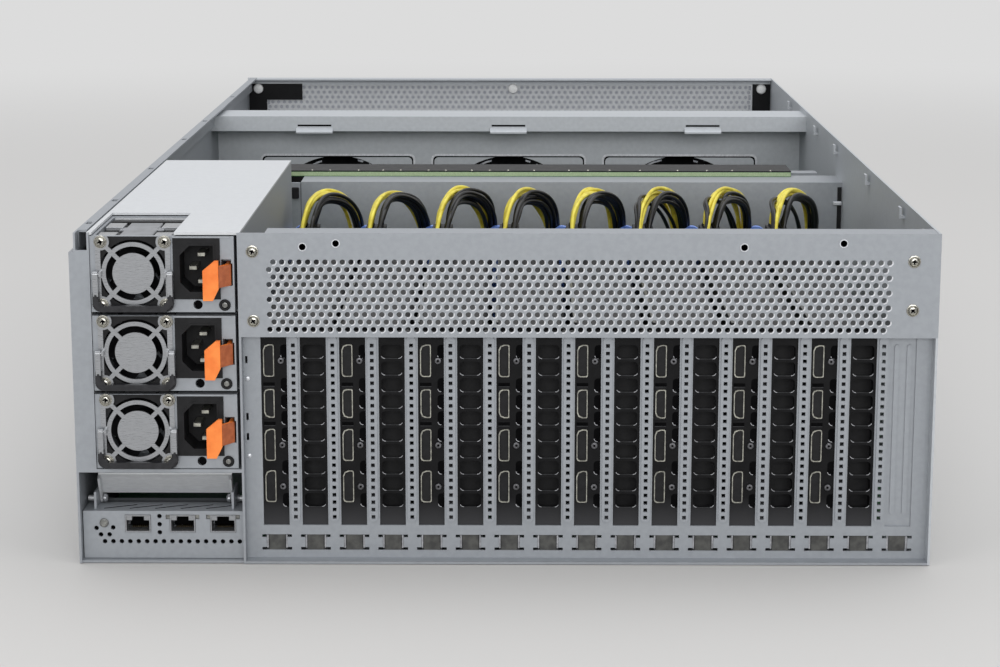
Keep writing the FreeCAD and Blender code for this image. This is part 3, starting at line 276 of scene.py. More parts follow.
def add(tree, kind, settings=None, links=None):
    """Adds a shader node, sets its inputs and properties, and links outputs into its inputs."""
    node = tree.nodes.new(kind)
    for name, value in (settings or {}).items():
        if isinstance(name, int) or name in node.inputs:
            node.inputs[name].default_value = value
        else:
            setattr(node, name, value)
    for name, output in (links or {}).items():
        tree.links.new(output, node.inputs[name])
    return node


def surface(name, colour, roughness, metallic=0.0, **sockets):
    """New material with its principled shader set; returns it with its tree, shader and place."""
    finish = bpy.data.materials.new(name)
    finish.use_nodes = True
    finish.diffuse_color = linear(colour)
    tree = finish.node_tree
    shader = tree.nodes["Principled BSDF"]
    shader.inputs["Base Color"].default_value = linear(colour)
    shader.inputs["Roughness"].default_value = roughness
    shader.inputs["Metallic"].default_value = metallic
    for socket, value in sockets.items():
        shader.inputs[socket.replace("_", " ")].default_value = value
    place = add(tree, "ShaderNodeTexCoord").outputs["Object"]
    return finish, tree, shader, place


def per_metre(size_mm):
    """Texture scale whose features are this size."""
    return 1 / (size_mm * MM)


def cloud(tree, place, size_mm, stretch, detail):
    """Noise of a given feature size, stretched along the axes."""
    mapped = add(tree, "ShaderNodeMapping", {"Scale": stretch}, {"Vector": place})
    noise = add(tree, "ShaderNodeTexNoise", {"Scale": per_metre(size_mm), "Detail": detail},
                {"Vector": mapped.outputs["Vector"]})
    return noise.outputs["Fac"]


def mottled(tree, shader, place, light, dark, size_mm, stretch=(1, 1, 1)):
    """Base colour that drifts between two shades; returns the pattern's value."""
    drift = cloud(tree, place, size_mm, stretch, 3.0)
    ramp = add(tree, "ShaderNodeValToRGB", {}, {"Fac": drift})
    for stop, position, shade in zip(ramp.color_ramp.elements, (0.35, 0.65), (dark, light)):
        stop.position = position
        stop.color = linear(shade)
    tree.links.new(ramp.outputs["Color"], shader.inputs["Base Color"])
    return drift


def varied_gloss(tree, shader, value, low, high):
    """Roughness that follows a pattern between two values."""
    spread = add(tree, "ShaderNodeMapRange", {"To Min": low, "To Max": high}, {"Value": value})
    tree.links.new(spread.outputs["Result"], shader.inputs["Roughness"])


def grain(tree, shader, place, size_mm, height_mm, stretch=(1, 1, 1)):
    """Fine bump of a given grain size and height."""
    bump = add(tree, "ShaderNodeBump", {"Strength": 1.0, "Distance": height_mm * MM},
               {"Height": cloud(tree, place, size_mm, stretch, 2.0)})
    tree.links.new(bump.outputs["Normal"], shader.inputs["Normal"])


# ---- finishes ----------------------------------------------------------------
def drifting(name, colour, roughness, metallic=0.0, shades=(), gloss=(), bump=(), **sockets):
    """Finish that drifts between two shades over a size, with a gloss that follows and a grain."""
    finish, tree, shader, place = surface(name, colour, roughness, metallic, **sockets)
    drift = mottled(tree, shader, place, *shades)
    if gloss:
        varied_gloss(tree, shader, drift, *gloss)
    if bump:
        grain(tree, shader, place, *bump)
    return finish


def black_bracket():
    """Black-passivated card bracket: a near-black sheet, a little paler towards its foot."""
    finish, tree, shader, place = surface("black_passivated_bracket_steel", "#0B0B0D", 0.46,
                                          Specular_IOR_Level=0.16)
    drift = mottled(tree, shader, place, "#0F0F11", "#08080A", 5.0)
    foot = add(tree, "ShaderNodeSeparateXYZ", {}, {"Vector": place})
    rise = add(tree, "ShaderNodeMapRange", {"From Min": 34.0 * MM, "From Max": 19.0 * MM},
               {"Value": foot.outputs["Z"]})
    pattern = shader.inputs["Base Color"].links[0].from_socket
    paler_foot = add(tree, "ShaderNodeMix", {"data_type": "RGBA"}, {0: rise.outputs["Result"], 6: pattern})
    paler_foot.inputs[7].default_value = linear("#38383A")
    tree.links.new(paler_foot.outputs[2], shader.inputs["Base Color"])
    varied_gloss(tree, shader, drift, 0.40, 0.52)
    grain(tree, shader, place, 0.4, 0.01)
    return finish


def board_laminate(name, light, dark, track):
    """Glass-epoxy board under solder mask: tracks show as slightly paler straight runs."""
    finish, tree, shader, place = surface(name, light, 0.35, Coat_Weight=0.3, Coat_Roughness=0.2)
    brick = add(tree, "ShaderNodeTexBrick", {"Scale": per_metre(9.0), "Mortar Size": 0.035,
                                             "Color1": linear(light), "Color2": linear(dark),
                                             "Mortar": linear(track)}, {"Vector": place})
    tree.links.new(brick.outputs["Color"], shader.inputs["Base Color"])
    grain(tree, shader, place, 2.0, 0.02)
    return finish


# Cold-rolled sheet with electrolytic zinc: a cool satin grey with a faint cloudy drift.
steel = drifting("zinc_plated_steel_sheet", "#9A9EA3", 0.46, 0.4,
                 ("#9CA0A5", "#979BA0", 3.0), (0.42, 0.52), (0.6, 0.012))
# Zinc-plated sheet of the inner walls: the same metal as outside, made paler as painted light on the walls
# inside the case.
lightened_inner_sheet = drifting("inner_zinc_sheet_painted_light", "#B9BDC1", 0.5, 0.35,
                      ("#BBBFC3", "#B5B9BD", 3.0), (0.44, 0.56), (0.6, 0.012))
# Tin-plated sheet of the module's handle: pale, with a broad soft sheen.
handle_tin = drifting("tin_plated_handle_sheet", "#CDCFD1", 0.38, 0.35,
                      ("#D0D2D4", "#C7C9CB", 4.0, (1, 1, 6)), (0.32, 0.46))
# Zinc sheet of the supply bay's cover: more matt, and paler as painted light from the top lamp.
cover = drifting("cover_sheet_painted_toplight", "#CDCFD1", 0.55, 0.3,
                 ("#CED0D2", "#CACCCE", 3.0), (0.50, 0.62), (0.5, 0.01))
# Stamped bright steel of guards and port shells: a satin sheen with rolling lines.
bright = drifting("stamped_bright_steel", "#9FA1A4", 0.3, 0.7,
                  ("#A4A6A9", "#999B9E", 3.0, (1, 1, 12)), (0.22, 0.36), (0.3, 0.006, (1, 1, 10)))
# Nickel-plated screw: bright, with a soft shade in its recess.
screw = drifting("nickel_plated_screw_steel", "#A7A59D", 0.24, 1.0,
                 ("#B7B5AC", "#8F8D86", 0.8), (0.18, 0.32))
# White-passivated pan-head screw: painted near white all over as painted light, with a soft sheen.
lightened_screw = drifting("pale_screw_painted_light", "#F4F4F2", 0.4, shades=("#F8F8F6", "#EAEAE8", 1.0))
# Blackened hex stud beside the sockets: dark steel with a bright rim.
dark_screw = drifting("blackened_stud_steel", "#6A6A6D", 0.3, 1.0,
                      ("#7C7C80", "#58585A", 1.0), (0.24, 0.36))
# Edges, rims and pressed ridges of zinc sheet where the light gathers: pale lines of painted highlight.
highlight_edge = drifting("zinc_edge_painted_highlight", "#D4D6DA", 0.4, 0.5,
                       ("#DCDEE2", "#C6C8CC", 1.5), (0.34, 0.46))
# Punched edge of a black-plated sheet: bare grey steel, made pale as a painted highlight where it catches
# the light.
glint_edge = drifting("bare_edge_painted_highlight", "#B2B3B7", 0.35, 0.8,
                     ("#BEBFC3", "#9FA0A4", 2.0), (0.28, 0.42))
# Rounded lower edge of a punched black sheet: a dim grey line of painted highlight.
dim_glint_edge = drifting("black_edge_painted_highlight", "#38393B", 0.4, 0.6, ("#414244", "#2E2F31", 2.0))
# Thin perforated zinc sheet of the front: pale and matt, so the holes barely stand out.
mesh_steel = drifting("perforated_zinc_sheet", "#C4C6C8", 0.6, 0.2, ("#C8CACC", "#BEC0C2", 3.0))
# Open dust-filter fleece behind the front sheet's holes: matt mid grey.
filter_fleece = drifting("grey_filter_fleece", "#A4A7AE", 0.9,
                         shades=("#ABAEB5", "#9B9EA5", 1.0), bump=(0.6, 0.1))
# Tin-plated socket shell: thin, dull silver edge.
socket_shell = drifting("tin_plated_socket_shell", "#A9A89F", 0.34, 0.9,
                        ("#BAB9AE", "#8F8E87", 2.0), (0.3, 0.42))
# Gold flash over nickel on contacts, dulled by the shade of the jack's mouth.
gold = drifting("gold_plated_contacts", "#4A3F28", 0.45, 1.0, ("#5A4E32", "#453A24", 1.0))
# Bare bracket foot behind the sheet's windows: grey, shaded steel.
tongue_grey = drifting("grey_passivated_steel", "#4A4A49", 0.5, 0.3,
                       ("#565653", "#3E3E3D", 4.0), (0.38, 0.55))
# Extruded aluminium: pale, with fine die lines up the fins.
aluminium = drifting("extruded_aluminium", "#D5D6D8", 0.32, 1.0,
                     ("#DDDEE0", "#C8CACC", 1.2, (1, 8, 1)), (0.26, 0.4))
# Spark-eroded black ABS and nylon: dark grey in grazing light with a fine pebble.
moulding = drifting("black_moulded_nylon", "#161618", 0.5, 0.0,
                    ("#1B1B1D", "#111113", 4.0), (0.42, 0.58), (0.35, 0.02), Specular_IOR_Level=0.25)
# Black glass-filled nylon of the pull bails: a touch greyer, with a soft sheen on its rounds.
bail_black = drifting("black_glass_filled_nylon", "#232326", 0.42, 0.0,
                      ("#2A2A2D", "#1D1D20", 3.0), (0.34, 0.5), (0.5, 0.03), Specular_IOR_Level=0.35)
# Unlit insides and open connector mouths: black that gives nothing back, as painted shade.
painted_shade_black = drifting("painted_shade_matt_black", "#060607", 0.8, shades=("#09090A", "#040405", 6.0),
                Specular_IOR_Level=0.05)
# Orange acetal of the release latches: saturated, slightly waxy, with a soft highlight.
orange = drifting("orange_moulded_acetal", "#FF8430", 0.42, 0.0,
                  ("#FF8E3C", "#F27A2A", 6.0), (0.36, 0.48), (0.6, 0.015),
                  Subsurface_Weight=0.08, Subsurface_Scale=0.002)
# Side of the latch's arm, turned from the light: the same acetal, a deep brown orange.
shaded_orange = drifting("shaded_orange_acetal", "#B4623C", 0.5, shades=("#BC6A42", "#A65834", 3.0))
# Blue nylon of the card holders: a clear mid blue with a satin skin.
blue = drifting("blue_moulded_nylon", "#6F93EA", 0.4, 0.0, ("#7BA0F2", "#6185DC", 4.0), (0.34, 0.46))
# Smoked polycarbonate of lamps and the push button: grey with a small bright spot.
lens = drifting("smoked_polycarbonate", "#7A7A76", 0.22, shades=("#8A8A85", "#62625F", 1.5),
                Coat_Weight=0.4)
# Matt grey polyester film on the fan's motor side.
grey_film = drifting("grey_polyester_film", "#7E8083", 0.4, shades=("#87898D", "#737578", 8.0))
# Sawn edge of a glass-epoxy board: pale green and fibrous.
pale_laminate = drifting("sawn_laminate_edge", "#9DB089", 0.55,
                         shades=("#A6B892", "#8C9F79", 1.2, (8, 1, 1)))
# Soft PVC insulation: smooth, with a gloss that runs along the wire.
yellow_wire = drifting("yellow_pvc_jacket", "#EBDD55", 0.42, 0.0,
                       ("#EBDD55", "#D3C03A", 6.0), (0.36, 0.50))
black_wire = drifting("black_pvc_jacket", "#141416", 0.34, 0.0,
                      ("#141416", "#0C0C0E", 6.0), (0.28, 0.42))
bracket_black = black_bracket()
green_board = board_laminate("green_solder_mask_laminate", "#1E5A2E", "#17502A", "#2F7A42")
black_board = board_laminate("black_solder_mask_laminate", "#141614", "#101210", "#24281F")

slot_finishes = {
    "galvanised_sheet": steel, "bright_steel": bright, "zinc_case": steel, "black_paint": bracket_black,
    "black_bracket": bracket_black, "black_plastic": moulding, "bail_plastic": bail_black,
    "grey_plastic": lens, "orange_plastic": orange, "blue_plastic": blue, "circuit_board": green_board,
    "black_film": moulding, "aluminium": aluminium, "lead_jacket": black_wire}
# The bay cover and the inner walls take paler finishes: painted light on the same zinc sheet.
node_finishes = {
    "psu_bay_cover": cover, "card_boards": black_board, "module_handle": handle_tin,
    "fan_wall": lightened_inner_sheet, "front_panel": lightened_inner_sheet, "side_wall_right": lightened_inner_sheet}
for part in frame["record"]["subparts"]:
    materials = frame["nodes"][part["node"]].data.materials
    materials.clear()
    materials.append(node_finishes.get(part["node"], slot_finishes[part["material_slot"]]))


# ---- perforated sheets -------------------------------------------------------
def vent_panel():
    """Upper rear panel with its field of staggered round holes, a painted highlight on each hole's lower
    rim, and four rimmed ones above it.
    """
    low, high = span("rear_vent_panel")
    face = low[1]
    pitch, row_step, radius, rows = 4.42, 3.89, 1.5, 10
    left, right, top = -117.8, 197.5, high[2] - 15.0
    cutters, glint_marks = Form(), Form()
    for row in range(rows):
        x, z = left - pitch / 2 * (row % 2), top - row * row_step
        while x < right:
            cutters.turned([(radius, -0.6), (radius, sheet + 0.6)], (x, face, z), sides=10)
            # Pale crescent round the lower side of each hole: painted highlight.
            outer = arc(x, z, radius + 0.45, -105, 25, 6, face - 0.06)
            inner = arc(x - 0.12, z + 0.12, radius - 0.05, 25, -105, 6, face - 0.06)
            glint_marks.prism(outer + inner, (0, 0.3, 0))
            x += pitch
    pierced("rear_vent_panel", "vent_panel_perforated", cutters, steel)
    glint_marks.done("vent_hole_painted_highlights", [highlight_edge], slot="galvanised_sheet")
    holes = ((-102.8, 7.1), (-85.8, 5.3), (122.0, 7.1), (172.4, 5.0))
    # Rims of the four holes, pale with painted highlight.
    studs("vent_panel_rims", [(1.72, 0.1), (1.75, -0.15), (2.15, -0.15), (2.25, 0.1)],
          [(x, face, high[2] - below) for x, below in holes], highlight_edge, "galvanised_sheet")


def slot_ribs():
    """Slot frame with a column of small square holes down every rib."""
    low, high = span("rear_slot_frame")
    face = span("rear_vent_panel")[0][1] + rib_set_back
    pitch, top, count, half = 3.99, high[2] - 7.0, 24, 1.0
    cutters = Form()
    for i in range(slot_count - 1):
        x = slot_x(i) + slot_pitch / 2
        for k in range(count):
            z = top - k * pitch
            cutters.block(x - half, x + half, face - 2, face + 2.2, z - half, z + half)
    edge = low[0] + 1.4
    for z in (107.4, 77.1, 66.4):
        cutters.block(edge - 0.6, edge + 0.7, face - 1, face + 2.2, z - 1.9, z + 1.9)
    pierced("rear_slot_frame", "slot_frame_perforated", cutters, steel)
    # Dimples beside the frame's edge, pale with painted highlight.
    studs("slot_frame_dimples", [(1.3, 0.0), (1.1, -0.5), (0.5, -0.75)],
          [(edge + 0.6, face, z) for z in (97.5, 56.2)], highlight_edge, "galvanised_sheet", sides=14)


def module_face():
    """Module tray with its breather holes and the lamp notches beside two of the jacks."""
    face = span("module_tray")[0][1]
    radius, pitch, row_z, first, count = 1.25, 4.42, 10.5, -209.3, 17
    column_x = -180.4
    button_x, button_z = module_button
    places = [(first + pitch * k, row_z) for k in range(count)]
    places += [(button_x + dx, button_z + dz)
               for dx, dz in ((-4.1, -2.9), (4.6, -2.6), (-1.9, -6.4), (2.6, -6.4))]
    places += [(column_x, z) for z in (15.4, 19.8, 24.2)]
    cutters = Form()
    for x, z in places:
        cutters.turned([(radius, -1.0), (radius, sheet + 1.0)], (x, face, z), sides=14)
    for x in lamp_places():
        cutters.block(x - 1.2, x + 1.2, face - 1, face + 3, 22.6, 25.0)
    pierced("module_tray", "module_tray_pierced", cutters, steel)


def lamp_places():
    """Middles of the lamps at both sides of the last two jacks."""
    return [x + side * jack_lamp_offset for x in jack_places[1:] for side in (-1, 1)]


def perforated_mesh(name, x0, x1, z0, z1, y0, thickness, pitch, row_step, radius, finish):
    """Flat sheet of staggered hexagonal holes, as one mesh of equal cells."""
    form = Form()
    mesh = form.mesh
    columns, rows = round((x1 - x0) / pitch), round((z1 - z0) / row_step)
    pitch, row_step = (x1 - x0) / (columns + 0.5), (z1 - z0) / rows
    shared = {}

    def corner(x, z, y):
        key = (round(x, 3), round(z, 3), y)
        if key not in shared:
            shared[key] = mesh.verts.new((x, y, z))
        return shared[key]

    for row in range(rows):
        zc = z0 + (row + 0.5) * row_step
        for column in range(columns):
            xc = x0 + (column + 0.5 + 0.5 * (row % 2)) * pitch
            edge = [(xc + a * pitch / 2, zc + b * row_step / 2)
                    for a, b in ((1, -1), (1, 1), (0, 1), (-1, 1), (-1, -1), (0, -1))]
            turns = [math.radians(a) for a in (-30, 30, 90, 150, 210, 270)]
            rim = [(xc + radius * math.cos(a), zc + radius * math.sin(a)) for a in turns]
            rings = []
            for y in (y0, y0 + thickness):
                rings.append(([corner(x, z, y) for x, z in edge],
                              [mesh.verts.new((x, y, z)) for x, z in rim]))
            for outer, inner in rings:
                form.sides(outer, inner)
            form.sides(rings[0][1], rings[1][1])
    form.done(name, [finish])


def front_sheet():
    """Front panel whose upper field is a fine air mesh with the dust filter's fleece in its holes."""
    low, high = span("front_panel")
    x0, x1 = low[0] + 16.0, high[0] - 17.0
    z0, z1 = 24.0, high[2] - 6.0
    outer = high[1] - sheet
    cutters = Form()
    cutters.block(x0, x1, outer - 2, outer + 4, z0, z1)
    # The front panel's copy takes the inner walls' paler finish of painted light.
    pierced("front_panel", "front_panel_window", cutters, lightened_inner_sheet)
    perforated_mesh("front_air_mesh", x0, x1, z0, z1, outer + 0.2, 0.8, 4.9, 4.2, 1.55, mesh_steel)
    bar("front_dust_filter", filter_fleece,
        (x0 + 0.2, x1 - 0.2, outer + 0.55, outer + 0.65, z0 + 0.2, z1 - 0.2))


# ---- fasteners ---------------------------------------------------------------
def screw_head(form, x, y, z, radius, drive_turn):
    """Pan head with a cross recess; index 0 is the head's finish and index 1 the painted shade in the drive.
    """
    form.index = 0
    form.turned([(radius * 0.98, 0.2), (radius, -0.15 * radius), (radius * 0.82, -0.42 * radius),
                 (radius * 0.5, -0.5 * radius), (radius * 0.22, -0.34 * radius)], (x, y, z), sides=20)
    form.index = 1
    arm, slim = radius * 0.62, radius * 0.15
    for quarter in (0, 90):
        turn = Matrix.Rotation(math.radians(quarter + drive_turn), 3, "Y")
        form.block(x - arm, x + arm, y - 0.53 * radius, y - 0.3 * radius, z - slim, z + slim, turn=turn)
    form.index = 0


def panel_screws():
    """Screws of the upper rear panel and of the front panel's inside."""
    face = span("rear_vent_panel")[0][1]
    form = Form()
    for k, (x, z) in enumerate(((-128.4, 165.4), (-128.4, 129.4), (208.5, 160.7), (208.5, 135.4))):
        form.turned([(3.3, 0.0), (3.2, -0.35), (2.7, -0.45), (2.3, -0.1)], (x, face + 0.02, z))
        screw_head(form, x, face - 0.1, z, 2.2, 20 + 37 * k)
    form.done("panel_screws", [screw, painted_shade_black], slot="galvanised_sheet", smooth=True)
    inner = span("front_corner_brackets")[0][1]
    # Screws inside the front panel, in the near-white finish of painted light.
    studs("front_panel_screws", [(4.0, 1.6), (4.2, -0.4), (3.6, -1.5), (2.0, -2.2), (0.8, -2.4)],
          [(x, inner, z) for x, z in ((-213.0, 166.0), (2.9, 166.2), (213.0, 166.0))], lightened_screw,
          "galvanised_sheet", sides=20)


# ---- power supplies ----------------------------------------------------------
def supply(number):
    """Dress of one power supply, from its fan frame to the side of its latch's arm, painted in shade."""
    case_low, case_high = span(f"psu_case_{number}")
    guard_low, guard_high = span(f"psu_fan_guard_{number}")
    body = f"psu_{number}"
    face = span("psu_shelf")[0][1] + 1.0
    fx, fz = (guard_low[0] + guard_high[0]) / 2, (guard_low[2] + guard_high[2]) / 2
    left, bottom, top = case_low[0], case_low[2], case_high[2]
    half, bore = 19.0, 17.4

    cutters = Form()
    cutters.block(fx - half, fx + half, face - 3, face + 2.5, fz - half, fz + half)
    cutters.block(left + 2.5, left + 42.5, face + 3.0, face + 62.0, top - 3.0, top + 3)
    pierced(f"psu_case_{number}", f"psu_case_{number}_opened", cutters, steel)

    form = Form()
    circle = arc(fx, fz, bore, 0, 360 - 360 / 32, 31, face + 0.12)
    square = []
    for x, y, z in circle:
        reach = (half - 0.1) / max(abs(x - fx), abs(z - fz))
        square.append((fx + (x - fx) * reach, y, fz + (z - fz) * reach))
    form.frame(square, circle, (0, 2.3, 0))
    form.turned([(7.0, 0.0), (7.6, 0.6), (7.6, 1.6)], (fx, face + 1.2, fz), sides=28)
    form.done(f"psu_fan_frame_{number}", [moulding], body, "black_plastic", smooth=True)

    form = Form()
    for sx, sz in ((-1, 1), (1, 1), (-1, -1), (1, -1)):
        x, z = fx + sx * guard_screw_offset, fz + sz * guard_screw_offset
        form.turned([(3.4, 0.1), (3.3, -0.3), (2.9, -0.35), (2.7, -0.1)], (x, face - 1.0, z))
        screw_head(form, x, face - 1.0, z, 2.3, 15 + 40 * sx + 10 * number)
    form.done(f"psu_guard_screws_{number}", [screw, painted_shade_black], body, "bright_steel", smooth=True)

    bail(number, bottom)
    inlet(number, bottom, body)
    fan_top(number, left, face, top, body)

    lamp_x, lamp_z = left + 68.4, bottom + 3.8
    form = Form()
    form.turned([(2.9, 0.0), (3.0, -0.5), (2.6, -0.95), (1.9, -0.95), (1.6, -0.5)],
                (lamp_x, face - 0.02, lamp_z))
    form.index = 1
    form.turned([(1.5, 0.0), (1.35, -0.75), (0.6, -0.95)], (lamp_x, face - 0.05, lamp_z), sides=18)
    form.done(f"psu_lamp_{number}", [moulding, lens], body, "black_plastic", smooth=True)

    # Black disc in the pull hole: painted shade.
    form = Form()
    form.turned([(2.38, 0.0), (2.3, 0.8)], (left + 55.2, face + 1.0, bottom + 3.9), sides=20)
    form.done(f"psu_pull_hole_{number}", [painted_shade_black], body, "black_plastic")

    latch_low, latch_high = span(f"psu_latch_{number}")
    arm_bottom, arm_height, y = latch_low[2] + 6.5, 11.0, latch_low[1] + 1.0
    plate_edge, out = latch_low[0] + 8.0, latch_high[0]
    # Side of the latch's arm in a darker orange: painted shade.
    form = Form()
    form.prism([(plate_edge, y, arm_bottom), (out, face, arm_bottom), (out + 0.08, face - 0.05, arm_bottom),
                (plate_edge + 0.08, y - 0.05, arm_bottom)], (0, 0, arm_height))
    form.done(f"psu_latch_arm_side_{number}", [shaded_orange], f"psu_latch_{number}", "orange_plastic")


def bail(number, bottom):
    """Pull bail: a soft black grip round the lower bow of a steel strap with round eyes."""
    node = f"psu_bail_{number}"
    (x0, y0, base), (x1, y1, top) = span(node)
    pivot_y, pivot_z = (y0 + y1) / 2, top - (y1 - y0) / 2
    grip_top = bottom + 10.8
    wall, bow, eye_radius = 3.2, 3.8, 1.75

    def bow_outline(inset, radius):
        left_x, right_x, z = x0 + inset, x1 - inset, base + inset
        right = arc(right_x - radius, z + radius, radius, 0, -90, 6, y0)
        left = arc(left_x + radius, z + radius, radius, -90, -180, 6, y0)
        return [(right_x, y0, grip_top)] + right + left + [(left_x, y0, grip_top)]

    form = Form()
    form.prism(bow_outline(0.0, bow) + bow_outline(wall, bow - wall + 1.4)[::-1], (0, y1 - y0, 0))
    sharp = [e for e in form.mesh.edges if abs(e.verts[0].co.y - e.verts[1].co.y) < 1e-6]
    bmesh.ops.bevel(form.mesh, geom=sharp, offset=1.15, segments=3, affect="EDGES")
    form.done(f"psu_bail_grip_{number}", [bail_black], node, "bail_plastic", smooth=True)

    form = Form()
    for side, edge in ((-1, x0), (1, x1)):
        near, far = sorted((edge - side * 0.4, edge - side * 3.0))
        eye = [(near, pivot_y + eye_radius * math.cos(a), pivot_z + eye_radius * math.sin(a))
               for a in [math.radians(18 * k) for k in range(11)]]
        strap = eye + [(near, pivot_y - 1.5, grip_top - 2), (near, pivot_y + 1.5, grip_top - 2)]
        form.prism(strap, (far - near, 0, 0))
    straps = form.done(f"psu_bail_straps_{number}", [bright], node, "bright_steel")
    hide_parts(node)


def inlet(number, bottom, body):
    """Blades and the raised rim of the mains inlet."""
    low, high = span(f"psu_inlet_{number}")
    x, z, y = (low[0] + high[0]) / 2, bottom + 22.6, low[1]
    form = Form()
    for dx, dz in ((2.2, 7.0), (2.2, -7.0), (-2.2, 0.0)):
        form.block(x + dx - 2.05, x + dx + 2.05, y + 2.9, y + 16.5, z + dz - 1.05, z + dz + 1.05, 0.25)
    form.done(f"psu_inlet_blades_{number}", [socket_shell], body, "bright_steel")
    half_width, half_height, corner = 8.5, 12.0, 5.0

    def rim(grow):
        a, b, rim_y = half_width + grow, half_height + grow, y - 0.25
        return [(x - a, rim_y, z - b + corner), (x - a + corner, rim_y, z - b), (x + a, rim_y, z - b),
                (x + a, rim_y, z + b), (x - a + corner, rim_y, z + b), (x - a, rim_y, z + b - corner)]

    form = Form()
    form.frame(rim(0.9), rim(0.02), (0, 0.3, 0))
    form.done(f"psu_inlet_rim_{number}", [moulding], body, "black_plastic")


def fan_top(number, left, face, top, body):
    """Top of the supply's fan in its opening: black frame, grey motor side and bright clips."""
    x0, x1, y0, y1, z = left + 3.0, left + 42.0, face + 3.5, face + 61.5, top - 2.8
    form = Form()
    form.block(x0, x1, y0, y1, z - 0.2, z + 0.6, 0.3)
    form.block(x0, x1, y1 - 11, y1 - 7, z + 0.6, z + 2.2, 0.3)
    form.index = 1
    form.block(x0 + 11, x1 - 11, y0 + 1, y1 - 15, z + 0.7, z + 2.2, 0.4)
    form.block(x0 + 8, x1 - 8, y0 + 22, y0 + 30, z + 0.7, z + 1.9, 0.4)
    form.index = 2
    for y, run in ((y0 + 1, 9), (y0 + 26, 14)):
        form.block(x0 + 0.5, x0 + 9.5, y, y + run, z + 0.7, z + 2.6, 0.2)
        form.block(x1 - 9.5, x1 - 0.5, y, y + run, z + 0.7, z + 2.6, 0.2)
    form.block(x0 + 0.5, x1 - 0.5, y1 - 5, y1 - 0.5, z + 0.6, z + 2.7, 0.2)
    form.done(f"psu_fan_top_{number}", [moulding, grey_film, bright], body, "black_plastic")


# ---- graphics cards ----------------------------------------------------------
def port_shell(form, x, y, z, kind):
    """Metal shell of a display socket set upright, its dark tongue and the painted shade of its mouth."""
    w, h = (5.6, 17.1) if kind == "tall" else (5.4, 15.2)
    corners = (0.8, 2.8, 1.5, 0.8) if kind == "tall" else (0.6, 2.0, 2.7, 0.6)
    outer = rounded(x, z, w, h, corners, y - 0.35, 2)
    inner = rounded(x, z, w - 0.9, h - 0.9, corners, y - 0.35, 2)
    form.index = 0
    form.frame(outer, inner, (0, 5.0, 0))
    form.index = 1
    form.prism(rounded(x, z, w - 0.95, h - 0.95, corners, y + 3.2, 2), (0, 0.6, 0))
    form.index = 2
    form.block(x - 0.7, x + 0.7, y + 0.9, y + 3.3, z - h * 0.36, z + h * 0.36, 0.15)


def vent_rim(form, x, z, y):
    """Rounded rim of a bracket's vent: black corners, and on its lower edge a dim painted highlight between
    two brighter painted highlights at the corners.
    """
    outer = rounded(x, z, vent_width + 0.2, vent_height + 0.2, (0.4,) * 4, y - 0.06)
    hole = (x, z, vent_width - 0.8, vent_height - 0.5, (2.0,) * 4)
    form.index = 0
    form.frame(outer, rounded(*hole, y - 0.06), (0, 0.8, 0))
    lip = sorted((p for p in rounded(*hole, y - 0.12) if p[2] < z - 2.2), key=lambda p: p[0])
    inside = [(x + (a - x) * 0.965, b, z + (c - z) * 0.93) for a, b, c in lip]
    half = len(lip) // 2
    for index, first, last in ((1, 0, half - 1), (3, half - 1, half), (1, half, len(lip) - 1)):
        form.index = index
        form.prism(lip[first:last + 1] + inside[first:last + 1][::-1], (0, 0.5, 0))


def card_dress(index):
    """Sockets, nuts, vent rims and the painted highlights on the edges of one card's bracket."""
    y = span("card_brackets")[1][1] - bracket_sheet
    middle = slot_x(2 * index)
    x = middle + port_offset
    form = Form()
    for z, kind in zip(port_heights, port_kinds):
        port_shell(form, x, y, z, kind)
    # Slots between the sockets in painted shade, each with a dim painted highlight along its lower edge.
    for seam in (94.2, 73.2):
        form.index = 1
        form.block(x - 3.0, x + 3.0, y - 0.06, y + 0.3, seam - 0.9, seam + 0.9)
        form.index = 3
        form.block(x - 2.9, x + 2.9, y - 0.12, y + 0.3, seam - 1.28, seam - 0.98)
    form.done(f"card_sockets_{index + 1}", [socket_shell, painted_shade_black, moulding, dim_glint_edge],
              slot="black_bracket")

    form = Form()
    for z in port_heights[:1] + port_heights[2:]:
        place = (middle + 3.6, y + 0.05, z)
        form.index = 0
        form.turned([(1.95, 0.0), (1.9, -0.4), (1.6, -0.85), (0.9, -0.95)], place, sides=12)
        # Dark in the stud's hex bore: painted shade.
        form.index = 1
        form.turned([(0.8, -0.7), (0.7, -1.0)], place, sides=6)
    form.done(f"card_nuts_{index + 1}", [dark_screw, painted_shade_black], slot="black_bracket", smooth=True)

    form = Form()
    for k in range(vent_count):
        vent_rim(form, slot_x(2 * index + 1), vent_first + vent_pitch * k, y)
    half_width, radius = 3.2, 1.8
    side_x = middle + 3.3 + half_width
    for k in side_vents:
        z = vent_first + vent_pitch * k
        # Black plate in the vent beside the sockets: painted shade in its opening.
        form.index = 2
        form.prism(rounded(side_x, z, 2 * half_width, vent_height - 0.5, (radius,) * 4, y - 0.03, 3),
                   (0, 0.1, 0))
        # Pale lower left corner of that vent: painted highlight.
        form.index = 1
        centre = (side_x - half_width + radius, z - vent_height / 2 + 2.05)
        corner = arc(*centre, radius, 185, 275, 5, y - 0.1)
        form.prism(corner + arc(*centre, radius - 0.35, 275, 185, 5, y - 0.1), (0, 0.1, 0))
    form.done(f"card_vent_rims_{index + 1}", [bracket_black, glint_edge, painted_shade_black, dim_glint_edge],
              slot="black_bracket")


